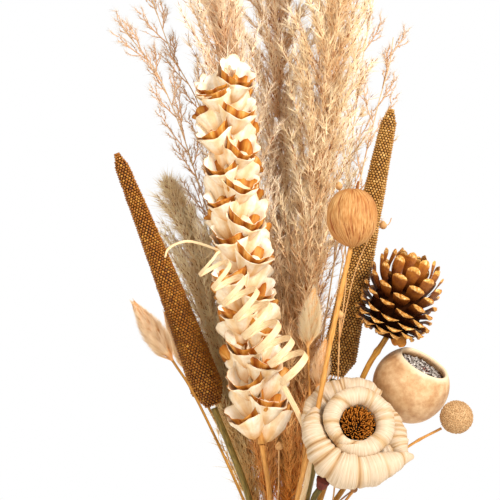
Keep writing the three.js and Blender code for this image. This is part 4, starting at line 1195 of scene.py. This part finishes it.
def make_cone():
    """A pine cone: scales in a spiral, closed below and splayed like petals above, and a small dry bract."""
    random = np.random.default_rng(3)
    base = np.array([72.6, -31, 365.4])
    axis = direction([10.5, -1, 32])
    heap = Heap()
    line = Line([base - axis * 2, base + axis * CONE_HEIGHT * 0.4, base + axis * CONE_HEIGHT * 0.66])
    corners, faces, share, round_it = swept(
        rod(12, 20, pointed=True), line, lambda s, a: 1 + 18.5 * np.sin(math.pi * (0.06 + 0.86 * s)) ** 0.7
    )
    # The core takes a near-black finish, painted shade between the scales.
    heap.add(corners, faces, 0.1, round_it, 0.2, 2)
    shape = cone_scale_shape()
    for number in range(CONE_SCALES):
        cone_scale(heap, random, number, base, axis, shape)
    bract = Line([base + (3, -3, 0), base + (7, -5, -3), base + (9.5, -6, -6), base + (10, -6, -9)])
    corners, faces, share, round_it = swept(
        rod(10, 16), bract, lambda s, a: 5.4 * np.sin(math.pi * (0.12 + 0.8 * s)) + 0.4, flat=(1.0, 0.35)
    )
    heap.add(corners, faces, share, round_it, 0.5, 1)
    finishes = [CONE_SCALE, CONE_BRACT, CONE_SHADE_CORE]
    return heap.piece("pine_cone_scales", finishes, "pine_cone", "cone_scale", smooth=False)


CUP_CENTRE = np.array([90.6, -20, 327.6])
CUP_HEADING = direction([0.454, -0.326, 0.823])


def in_cup(points):
    """Points of the seed cup's own frame, its mouth along Z, in the bunch's."""
    return set_in((points, None), CUP_CENTRE[None], CUP_HEADING[None], [[1, 1, 1]])[0][0]


def make_cup():
    """A hollow round seed cup with a wide mouth and a slightly worn lip."""
    low = math.acos(math.sqrt(SEED_CUP_RADIUS**2 - SEED_CUP_MOUTH**2) / SEED_CUP_RADIUS)
    hollow = SEED_CUP_RADIUS - SEED_CUP_WALL
    outer_angles = np.linspace(math.pi, low, 40)
    inner_angles = np.linspace(low + 0.05, math.pi, 30)
    outer = [(SEED_CUP_RADIUS * math.sin(a), SEED_CUP_RADIUS * math.cos(a)) for a in outer_angles]
    inner = [(hollow * math.sin(a), hollow * math.cos(a)) for a in inner_angles]
    rim_height = outer[-1][1]
    lip = [(SEED_CUP_MOUTH - 0.7, rim_height + 0.1), (SEED_CUP_MOUTH - 1.9, rim_height - 0.6)]
    mesh = turned([(0.0, -SEED_CUP_RADIUS)] + outer[1:] + lip + inner[:-1] + [(0.0, -hollow)], 72)
    bmesh.ops.recalc_face_normals(mesh, faces=mesh.faces[:])
    for v in mesh.verts:
        dent = noise.noise(v.co * 0.05 + Vector((3, 1, 2)))
        v.co += v.co.normalized() * 0.5 * dent
    corners, faces = shape_of(mesh)
    height = (corners[:, 2] + SEED_CUP_RADIUS) / (2 * SEED_CUP_RADIUS)
    heap = Heap()
    heap.add(in_cup(corners), faces, height / height.max())
    return heap.piece("seed_cup_shell", [CUP_SHELL], "seed_cup", "cup_shell")


def make_pith():
    """Dry pith in the cup: a rough floor with crumbs and flakes on it."""
    random = np.random.default_rng(7)
    radius = SEED_CUP_RADIUS - SEED_CUP_WALL - 1.2
    corners, faces = ball(60, 40)
    top = corners[:, 2] > PITH_LEVEL
    rough = np.array([noise.fractal(Vector(c) * 5.0, 0.6, 2.0, 4) for c in corners])
    placed = corners * radius
    placed[top, 2] = radius * PITH_LEVEL + 1.7 * rough[top]
    heap = Heap()
    heap.add(in_cup(placed), faces, 0.5)
    reach = 0.72 * radius * np.sqrt(random.uniform(0, 1, PITH_CRUMBS))
    turn = random.uniform(0, TURN, PITH_CRUMBS)
    height = radius * PITH_LEVEL + random.uniform(-0.6, 1.6, PITH_CRUMBS)
    spots = in_cup(np.stack([reach * np.cos(turn), reach * np.sin(turn), height], -1))
    ups = random.normal(0, 1, (PITH_CRUMBS, 3))
    sizes = [random.uniform(low, high, PITH_CRUMBS) for low, high in ((0.3, 1.1), (0.2, 0.6), (0.3, 1.5))]
    placed, faces = set_in(GRAIN, spots, ups, np.stack(sizes, -1))
    heap.add(placed, faces, 0.5, 0, random.uniform(0, 1, PITH_CRUMBS)[:, None])
    return heap.piece("cup_pith_crumb", [CUP_PITH], "cup_pith", "cup_pith", smooth=False)


def make_button():
    """A round button flower: close knobs all over a ball."""
    random = np.random.default_rng(17)
    centre = np.array([121.6, -46, 306])
    number = np.arange(BUTTON_KNOBS) + 0.5
    height = 1 - 2 * number / BUTTON_KNOBS
    turn = number * GOLDEN_ANGLE
    flat = np.sqrt(1 - height * height)
    ups = np.stack([flat * np.cos(turn), flat * np.sin(turn), height], -1)
    ups = direction(ups + random.normal(0, 0.02, ups.shape))
    corners, faces = ball(40, 24)
    heap = Heap()
    heap.add(centre + corners * (BUTTON_RADIUS - 0.2), faces, 0.2, 0, 0.2)
    size = random.uniform(0.4, 0.72, BUTTON_KNOBS)
    sizes = np.stack([size, size, size], -1)
    placed, faces = set_in(GRAIN, centre + ups * (BUTTON_RADIUS - 0.1), ups, sizes, turn)
    high = (GRAIN[0][:, 2] + 1) / 2
    tone = np.clip(random.normal(0.5, 0.2, BUTTON_KNOBS), 0, 1)
    heap.add(placed, faces, high[None, :], 0, tone[:, None])
    return heap.piece("button_flower_knobs", [BUTTON_KNOB], "button_flower", "button_fuzz")


# Husk rose

ROSE_CENTRE = np.array([48.2, -66, 302])
ROSE_FACING = direction([0.1, -0.93, 0.35])
ROSE_RIGHT = direction(np.cross([0, 0, 1], ROSE_FACING))
ROSE_RAISED = np.cross(ROSE_FACING, ROSE_RIGHT)


def from_rose(points):
    """Points of the rose's own frame, to its right, up and out of its face, in the bunch's."""
    points = np.asarray(points, float)
    right = points[..., 0:1] * ROSE_RIGHT
    raised = points[..., 1:2] * ROSE_RAISED
    out = points[..., 2:3] * ROSE_FACING
    return ROSE_CENTRE + right + raised + out


def husk_roll(heap, points, radii, sides, rings, folds, seed, depth, hint=(0, 0, 1)):
    """Adds a roll of husk in the rose's frame, gathered into sharp uneven folds across it."""
    random = np.random.default_rng(seed)
    line = Line(points)
    places = np.sort(random.uniform(0, 1, folds))
    slants = random.normal(0, 0.012, folds)
    deeps = 0.12 + 0.9 * random.uniform(0, 1, folds) ** 2

    def pleat(share, angle):
        worst = np.zeros_like(share)
        for place, slant, deep in zip(places, slants, deeps):
            gap = np.abs(share - place - slant * np.sin(angle + 40 * place))
            worst = np.maximum(worst, deep * np.exp(-gap * folds * 2.6))
        return worst

    def reach(share, angle):
        size = np.interp(share, np.linspace(0, 1, len(radii)), radii)
        ripple = 0.012 * np.sin(2.7 * folds * TURN * share * 0.5 + 2 * np.sin(angle))
        ripple += 0.035 * np.sin(0.31 * folds * TURN * share + 1.3 * np.sin(angle + 2.0))
        wave = 0.03 * np.sin(3 * angle + 5 * share * TURN)
        return size * (1 - depth * pleat(share, angle) + ripple + wave)

    corners, faces, share, round_it = swept(rod(sides, rings), line, reach, hint=hint)
    # Tone is low in the folds, where the finish paints shade.
    smooth = 1 - pleat(share, (round_it - 0.5) * TURN)
    heap.add(from_rose(corners), faces, share * line.length / 100, round_it, smooth)


def rose_ring():
    """The inner roll's points: a little over one turn, drawn in and lifted where it laps over its start."""
    points = []
    for step in range(29):
        share = step / 28
        turn = math.radians(198 + 428 * share)
        late = max(0, share - 0.84) / 0.16
        reach = 19.6 - 3.6 * late**1.3
        points.append((reach * math.cos(turn), reach * math.sin(turn), 6 + 2 * share + 4.4 * late))
    return points


def make_rose():
    """A rose of corn husk: an inner roll over its own start, a fat lower roll and petals behind."""
    heap = Heap()
    radii = [3.5, 6.2, 6.6, 6.8, 6.6, 6.8, 6.6, 5.2, 0.7]
    husk_roll(heap, rose_ring(), radii, sides=26, rings=160, folds=26, seed=5, depth=0.1)
    lower = [(-27, 15, -8), (-31, 5, -1), (-31.5, -8, 1), (-20, -28, 0)]
    lower += [(-2, -34, 0), (20, -29, -1), (32, -24, -3), (40, -22, -6)]
    radii = [2.5, 7.5, 10, 12.8, 13.5, 12, 8, 2]
    husk_roll(heap, lower, radii, sides=30, rings=180, folds=34, seed=8, depth=0.16)
    upper = [(-33, 2, -15), (-30, 14, -15), (-20, 25, -12), (-5, 29, -10), (9, 28, -10), (18, 23, -12)]
    husk_roll(heap, upper, [5, 7.5, 9, 9.5, 9, 7], sides=26, rings=150, folds=26, seed=11, depth=0.16)
    right = [(12, 22, -13), (22, 15, -13), (27.5, 3, -11), (29, -10, -9), (33, -22, -8)]
    husk_roll(heap, right, [3, 6.5, 8.5, 10, 5], sides=24, rings=120, folds=16, seed=14, depth=0.14)
    tuck = [(14, -21, -9), (23, -17, -8), (31, -13, -9)]
    husk_roll(heap, tuck, [3, 5.5, 5.5, 3], sides=18, rings=50, folds=6, seed=21, depth=0.14)
    lumps = [(-34, 10, -6), (-33, 3, -4), (-31, -3, -3)]
    husk_roll(heap, lumps, [1.5, 4.5, 3.5, 4.5, 2], sides=18, rings=40, folds=6, seed=17, depth=0.2)
    foot = [(0, 0, -5.2), (0, -1, -14), (-3, -6, -21), (-10, -16, -26.5), (-19.5, -29.5, -32)]
    radii = [24, 17, 12, 8, 4.6]
    husk_roll(heap, foot, radii, sides=30, rings=40, folds=1, seed=2, depth=0.0, hint=(1, 0, 0))
    return heap.piece("husk_rose_petals", [HUSK], "husk_rose", "husk")


def make_stamens():
    """The rose's centre: a disc painted near black as shade, with close stamens that fan out from it and
    darken to their roots as painted shade.
    """
    random = np.random.default_rng(29)
    heap = Heap()
    disc = Line([from_rose((0, 0, -4.6)), from_rose((0, 0, -3.6)), from_rose((0, 0, -2))])
    corners, faces, share, round_it = swept(rod(24, 3), disc, lambda s, a: np.full_like(s, 14.0))
    # The disc takes the stamens' near-black root colour: painted shade deep in the rose's centre.
    heap.add(corners, faces, 0, 0, 0)
    number = np.arange(STAMENS)
    reach = STAMEN_SPREAD * ((number + 0.5) / STAMENS) ** 0.44
    turn = number * GOLDEN_ANGLE
    flat = np.stack([np.cos(turn), np.sin(turn)], -1)
    root = np.concatenate([flat * (0.8 * reach)[:, None], np.full((STAMENS, 1), STAMEN_FOOT)], -1)
    tall = random.uniform(7.5, 11.5, STAMENS) * (0.5 + 0.5 * reach / STAMEN_SPREAD)
    top = np.concatenate([flat * (reach * 1.12)[:, None], (tall + STAMEN_FOOT)[:, None]], -1)
    top[:, :2] += random.normal(0, 0.5, (STAMENS, 2))
    bow = [from_rose(points) for points in (root, (root + top) / 2, top)]
    placed, faces, t = bent(rod(4, 3), *bow, np.full(STAMENS, STAMEN_RADIUS), -0.5)
    heap.add(placed, faces, t, 0, random.uniform(0, 1, STAMENS)[:, None])
    return heap.piece("rose_stamens_tuft", [STAMEN], "rose_stamens", "stamen")


def make_bract():
    """The dark crumpled bract under the rose."""
    heap = Heap()
    line = Line([(25.2, -46.6, 260.6), (24, -44.8, 257.4), (22.6, -42.9, 254.2)])

    def reach(share, angle):
        crumple = 1 + 0.1 * np.sin(7 * angle + 4 * share) + 0.05 * np.sin(13 * angle)
        return (5.4 - 2.6 * share) * crumple

    corners, faces, share, round_it = swept(rod(24, 20), line, reach)
    heap.add(corners, faces, share, round_it)
    return heap.piece("rose_bract_leaf", [BRACT], "rose_bract", "bract")


# Flax


def flax_pod(heap, centre):
    """Adds a small round pod with faint seams and a beak."""
    corners, faces = ball(24, 14)
    turn = np.arctan2(corners[:, 1], corners[:, 0])
    seam = 1 - 0.06 * np.abs(np.cos(2.5 * turn)) ** 8
    placed = corners * (POD_RADIUS * seam)[:, None]
    placed[:, 2] += 0.8 * np.exp(-(((corners[:, 2] - 1) / 0.12) ** 2))
    heap.add(np.array(centre) + placed, faces, (corners[:, 2] + 1) / 2, turn / TURN, 0.6)


def flax_twig(heap, points, radius=0.8):
    """Adds a thin twig of flax."""
    line = Line(points)
    corners, faces, share, round_it = swept(rod(6, 60), line, lambda s, a: radius * (1 - 0.2 * s))
    heap.add(corners, faces, share * line.length / 40, round_it, 0.5)


def make_flax_spray():
    """A flax stem that forks in two, with a pod at the fork and at the end of each branch."""
    heap = Heap()
    fork = (36.6, -40, 362)
    flax_twig(heap, root_points(3, 17) + [(33, -25, 245), (35, -31, 300), fork, (37, -42, 378)])
    flax_twig(heap, [fork, (42, -37, 410), (39, -36, 450), (36.7, -36, 472)], 0.5)
    flax_twig(heap, [fork, (48, -36, 410), (60, -36, 438), (69, -36, 445.4)], 0.5)
    flax_twig(heap, [(69, -36, 445.4), (72.5, -36, 446), (74, -36, 448), (75, -36, 451)], 0.45)
    for centre in ((37.1, -42, 380), (36.7, -36, 474), (69, -36, 445.4)):
        flax_pod(heap, centre)
    return heap.piece("flax_spray_pods", [POD], "flax_spray", "pod_tan")


def make_single_pod(name, place, points, finish):
    """One pod on a stem of its own, up from its place in the vase."""
    heap = Heap()
    flax_twig(heap, root_points(*place) + points)
    flax_pod(heap, points[-1])
    return heap.piece(name + "_pod", [finish], name, "pod_tan")


# The finishes of this bunch

STONEWARE = stoneware_finish()
STRAW_PALE = straw_finish("straw_pale", linear(206, 166, 114), linear(238, 208, 162))
STRAW_GOLD = straw_finish("straw_gold", linear(178, 116, 42), linear(224, 166, 90))
STRAW_BROWN = straw_finish("straw_brown", linear(138, 88, 20), linear(192, 138, 52))
STRAW_OLIVE = straw_finish("straw_olive", linear(52, 46, 14), linear(116, 100, 40))
MILLET_STALK = straw_finish("millet_stalk", linear(84, 74, 26), linear(158, 132, 66))
# Painted shade low on each plume; the low left plume takes a paler one.
LOW_SHADE = linear(255, 204, 114)
PLUME_RIGHT = hair_finish(
    "plume_warm", linear(238, 168, 90), linear(255, 237, 199), linear(255, 247, 228), LOW_SHADE
)
PLUME_MIDDLE = hair_finish(
    "plume_sand", linear(238, 168, 92), linear(255, 240, 210), linear(255, 250, 238), LOW_SHADE
)
PLUME_LEFT = hair_finish(
    "plume_fawn", linear(236, 168, 98), linear(255, 238, 208), linear(255, 248, 236), LOW_SHADE
)
PLUME_GREY = hair_finish(
    "plume_grey", linear(255, 200, 126), linear(255, 245, 212), linear(255, 251, 234), linear(255, 241, 202)
)
PLUME_SEED = hair_finish("plume_seed", linear(150, 78, 22), linear(188, 114, 46), linear(226, 164, 92))
REED_CHAFF = hair_finish("reed_chaff", linear(236, 188, 142), linear(248, 212, 176), linear(255, 246, 234))
MILLET_BROWN = grain_finish("millet_brown", linear(104, 54, 6), linear(162, 98, 20), linear(216, 160, 70))
MILLET_PALE = grain_finish("millet_pale", linear(136, 88, 32), linear(182, 130, 58), linear(230, 190, 120))
# Dark millet cores: painted shade seen in the gaps between grains.
MILLET_SHADE_CORE = plain_finish("millet_shade_core", linear(52, 24, 5), linear(84, 44, 12), 200)
MILLET_SHADE_CORE_PALE = plain_finish("millet_shade_core_pale", linear(78, 46, 16), linear(114, 74, 32), 200)
TAIL_WARM = hair_finish("tail_warm", linear(240, 184, 108), linear(255, 236, 192), linear(255, 248, 226))
TAIL_GOLD = hair_finish("tail_gold", linear(202, 138, 72), linear(239, 208, 165), linear(246, 228, 201))
TAIL_TAN = hair_finish("tail_tan", linear(220, 158, 90), linear(249, 214, 164), linear(254, 234, 202))
BELL_WHITE = petal_finish(
    "bell_white",
    dark=linear(244, 234, 218),
    middle=linear(251, 245, 235),
    light=linear(255, 252, 248),
    foot=linear(244, 212, 164),
    edge=linear(250, 230, 196),
    valley_shade=linear(250, 240, 222),
)
BELL_GOLD = petal_finish(
    "bell_gold",
    dark=linear(160, 96, 24),
    middle=linear(204, 138, 54),
    light=linear(234, 184, 112),
    foot=linear(226, 190, 140),
    edge=linear(236, 196, 140),
    valley_shade=linear(196, 150, 96),
)
BELL_CREAM = petal_finish(
    "bell_cream",
    dark=linear(240, 218, 182),
    middle=linear(249, 236, 212),
    light=linear(254, 247, 234),
    foot=linear(240, 200, 142),
    edge=linear(252, 244, 230),
    valley_shade=linear(246, 230, 204),
)
CANE = cane_finish()
NUT_SHELL = nut_finish()
CONE_SCALE = cone_finish()
CUP_SHELL = cup_finish()
CUP_PITH = pith_finish()
BUTTON_KNOB = plain_finish("button_knob", linear(161, 116, 68), linear(208, 173, 126), 700, 0.7)
HUSK = husk_finish()
# Stamens darken to near black at their roots: painted shade deep in the rose's centre.
STAMEN = hair_finish("stamen_thread", linear(18, 6, 1), linear(84, 38, 8), linear(196, 126, 48))
# The cone's core is painted near black as shade between the scales.
CONE_SHADE_CORE = plain_finish("cone_shade_core", linear(24, 8, 1), linear(54, 22, 4), 260, 0.95, gloss=0.05)
CONE_BRACT = plain_finish("cone_bract", linear(150, 86, 16), linear(200, 132, 40), 260)
BRACT = plain_finish("bract", linear(70, 16, 8), linear(120, 42, 20), 300)
POD = plain_finish("flax_pod", linear(176, 122, 66), linear(222, 176, 118), 240)
BUD = plain_finish("flax_bud", linear(120, 74, 34), linear(160, 110, 62), 240)

# Putting the bunch together

make_vase()

make_plume(
    "pampas_plume_right",
    place=(1, 1),
    crown=[(4, 16, 252), (9, 24, 330), (19, 28, 450), (29, 28, 542), (38, 28, 634), (42, 28, 690)],
    low_end=(2.5, 11, 216),
    half_width=44,
    branches=262,
    room=room_of(-24, 8, 82, 66),
    seed=11,
    finish=PLUME_RIGHT,
)
make_plume(
    "pampas_plume_middle",
    place=(2, 3),
    crown=[(-1, 44, 310), (-2, 58, 360), (-4, 70, 450), (-5, 76, 545), (-8, 78, 648), (-9, 78, 722)],
    low_end=(-3, 24, 216),
    half_width=48,
    branches=222,
    room=room_of(-64, 20, 62, 118),
    seed=23,
    finish=PLUME_MIDDLE,
)
make_plume(
    "pampas_plume_left",
    place=(2, 5),
    crown=[(-19, 16, 266), (-26, 23, 350), (-34, 26, 450), (-42, 27, 542), (-53, 28, 626), (-60, 28, 676)],
    low_end=(-10, 10, 216),
    half_width=40,
    branches=190,
    room=room_of(-92, 6, 6, 62),
    seed=37,
    finish=PLUME_LEFT,
)
make_plume(
    "pampas_plume_low_left",
    place=(3, 8),
    crown=[(-33, 19, 262), (-45, 26, 315), (-57, 29, 374), (-70, 30, 427), (-82, 30, 456), (-91, 30, 478)],
    low_end=(-19, 12, 216),
    half_width=27,
    branches=128,
    room=room_of(-116, 8, -10, 50),
    seed=5,
    finish=PLUME_GREY,
)

make_reed(
    "reed_spray_left_high",
    place=(3, 6),
    crown=[(-22, 36, 330), (-48, 52, 466), (-67, 60, 537), (-89, 64, 580), (-106, 64, 626)],
    room=room_of(-142, 56, -30, 92),
    seed=3,
    twigs=24,
)
make_reed(
    "reed_spray_left_low",
    place=(3, 7),
    crown=[(-36, 41, 366), (-74, 49, 497), (-94, 50, 551), (-106, 50, 573), (-127, 50, 599)],
    room=room_of(-152, 42, -50, 58),
    seed=9,
    twigs=24,
)
make_reed(
    "reed_spray_right_low",
    place=(3, 3),
    crown=[(38, 44, 389), (57, 51, 482), (71, 54, 540), (80, 56, 572), (83, 56, 593)],
    room=room_of(40, 43, 112, 61),
    seed=13,
    twigs=14,
)
make_reed(
    "reed_spray_right_high",
    place=(3, 4),
    crown=[(34, 50, 400), (47, 60, 480), (57, 66, 560), (64, 68, 600), (69, 68, 628)],
    room=room_of(36, 59, 112, 92),
    seed=17,
    twigs=14,
)

make_millet(
    "millet_head_left",
    base=(-56.5, 5, 311.5),
    tip=(-128, -3, 499),
    bulge=(3, 1, -2),
    base_radius=12.4,
    tip_radius=4.2,
    seed=61,
    grains=MILLET_BROWN,
    core=MILLET_SHADE_CORE,
    slot="millet_brown",
)
make_millet(
    "millet_head_right",
    base=(35, -6, 334),
    tip=(77, -5, 532),
    bulge=(1, 0, 1),
    base_radius=13,
    tip_radius=4.8,
    seed=62,
    grains=MILLET_PALE,
    core=MILLET_SHADE_CORE_PALE,
    slot="millet_pale",
)
millet_left_points = [(-30, 4, 243), (-55.6, 5, 308.6)]
make_stem("millet_stem_left", (3, 9), millet_left_points, 2.5, MILLET_STALK, "millet_stem", 1, 2)
millet_right_points = [(20, -4, 270), (34, -6, 331)]
make_stem("millet_stem_right", (1, 0), millet_right_points, 2.5, MILLET_STALK, "millet_stem", 1, 3)

make_tail(
    "bunny_tail_right",
    base=(14.2, -26, 357),
    tip=(18.8, -28, 400),
    radius=8.8,
    seed=2,
    hairs=3600,
    finish=TAIL_WARM,
    fluff=0.4,
)
make_tail(
    "bunny_tail_right_low",
    base=(21, -28, 327),
    tip=(27, -30, 362),
    radius=7.4,
    seed=4,
    hairs=2400,
    finish=TAIL_TAN,
    fluff=0.4,
)
make_tail(
    "bunny_tail_left",
    base=(-87, -8, 346),
    tip=(-116, -8, 389),
    radius=10.4,
    seed=6,
    hairs=3800,
    finish=TAIL_GOLD,
    fluff=0.06,
)
make_tail(
    "bunny_tail_left_back",
    base=(-74.5, 26, 334.5),
    tip=(-93.5, 26, 380),
    radius=7.4,
    seed=8,
    hairs=2400,
    finish=TAIL_TAN,
    fluff=0.15,
)
tail_right_points = [(15, -22, 310), (14.2, -26, 355.6)]
make_stem("bunny_tail_stem_right", (1, 5), tail_right_points, 1, STRAW_GOLD, "stem_golden")
tail_right_low_points = [(17, -25, 290), (20.7, -27.9, 325.6)]
make_stem("bunny_tail_stem_right_low", (2, 10), tail_right_low_points, 1, STRAW_GOLD, "stem_golden")
tail_left_points = [(-34, -11, 243), (-68, -12, 316), (-86.1, -8, 344.8)]
make_stem("bunny_tail_stem_left", (3, 10), tail_left_points, 1, STRAW_BROWN, "stem_brown")
tail_left_back_points = [(-44, 20, 276), (-74, 26, 333)]
make_stem("bunny_tail_stem_left_back", (2, 6), tail_left_back_points, 1, STRAW_BROWN, "stem_brown")

make_bells()
bell_spike_points = [(-14, -15, 245), (-19.9, -19.8, 283.4)]
make_stem("bell_spike_stem", (2, 7), bell_spike_points, 2, STRAW_GOLD, "stem_golden")
make_cane()
make_nut()
nut_points = [(6, -42, 246), (16, -60, 291), (21, -61, 317), (29.6, -61, 363), (44, -60, 429.2)]
make_stem("nut_stick", (3, 14), nut_points, 1.8, STRAW_GOLD, "stem_golden", 3, 7)

make_cone()
cone_points = [(26, -18, 250), (53, -31, 331), (72.2, -31, 364.2)]
make_stem("cone_stick", (2, 11), cone_points, 2.2, STRAW_BROWN, "stem_brown", 2, 8)
make_cup()
make_pith()
cup_points = [(40, -10, 248), tuple(CUP_CENTRE - CUP_HEADING * (SEED_CUP_RADIUS + 1))]
make_stem("cup_stick", (2, 0), cup_points, 2, STRAW_BROWN, "stem_brown", 1, 9)
make_button()
button_points = [(52, -28, 255), (87, -40, 284), (111, -42.6, 297.6)]
make_stem("button_stem", (3, 0), button_points, 1, STRAW_GOLD, "stem_golden", 1, 10)

make_rose()
make_stamens()
make_bract()
rose_points = [(17.5, -35, 243), (22.4, -42.6, 253.6)]
make_stem("rose_stick", (3, 15), rose_points, 2.4, STRAW_OLIVE, "stem_olive", 1, 11)

make_flax_spray()
make_single_pod("flax_pod_front", (3, 12), [(-8, -26, 243), (-7.2, -30, 283)], POD)
make_single_pod("flax_bud_right", (3, 16), [(33, -29, 238), (47.4, -40, 253)], BUD)

# Floor, light and camera


def make_floor():
    """A pale round floor under the vase."""
    mesh = bmesh.new()
    bmesh.ops.create_circle(mesh, cap_ends=True, segments=96, radius=1.7)
    floor_mesh = bpy.data.meshes.new("studio_floor")
    mesh.to_mesh(floor_mesh)
    mesh.free()
    f = Finish("studio_floor", 0.9)
    floor_mesh.materials.append(f.done(linear(246, 244, 241)))
    floor = bpy.data.objects.new("studio_floor", floor_mesh)
    bpy.context.scene.collection.objects.link(floor)
    floor.location = (0, 0, -0.0002)


def make_lamp(name, place, size, power, colour):
    """A square lamp that faces the middle of the bunch. Its place and size are in metres."""
    lamp = bpy.data.lights.new(name, "AREA")
    lamp.energy = power
    lamp.size = size
    lamp.color = colour
    holder = bpy.data.objects.new(name, lamp)
    bpy.context.scene.collection.objects.link(holder)
    holder.location = place
    holder.rotation_euler = (Vector((0, 0, 0.43)) - Vector(place)).to_track_quat("-Z", "Y").to_euler()


def make_sky():
    """White behind the bunch, and a softer light from all round."""
    world = bpy.data.worlds.new("studio")
    bpy.context.scene.world = world
    world.use_nodes = True
    tree = world.node_tree
    surround = tree.nodes["Background"]
    surround.inputs["Color"].default_value = (1.0, 0.93, 0.84, 1)
    surround.inputs["Strength"].default_value = 0.58
    backdrop = tree.nodes.new("ShaderNodeBackground")
    backdrop.inputs["Color"].default_value = (1, 1, 1, 1)
    seen = tree.nodes.new("ShaderNodeLightPath")
    choice = tree.nodes.new("ShaderNodeMixShader")
    tree.links.new(seen.outputs["Is Camera Ray"], choice.inputs[0])
    tree.links.new(surround.outputs[0], choice.inputs[1])
    tree.links.new(backdrop.outputs[0], choice.inputs[2])
    tree.links.new(choice.outputs[0], tree.nodes["World Output"].inputs["Surface"])


def make_camera():
    """The camera, 1.5 m in front of the bunch and level with the middle of what the photo shows."""
    data = bpy.data.cameras.new("camera")
    data.lens = 144
    data.sensor_width = 36
    data.clip_start = 0.05
    data.clip_end = 60
    camera = bpy.data.objects.new("camera", data)
    bpy.context.scene.collection.objects.link(camera)
    camera.location = (-28.5 * MM, -1500 * MM, 427.5 * MM)
    camera.rotation_euler = (math.pi / 2, 0, 0)
    bpy.context.scene.camera = camera


make_floor()
make_sky()
make_lamp("key_light", (1.1, -1.4, 1.5), 0.6, 54, (1.0, 0.97, 0.93))
make_lamp("fill_light", (-1.5, -1.1, 0.8), 1.2, 12, (1.0, 0.92, 0.82))
make_camera()
bpy.context.scene.view_settings.view_transform = "Standard"
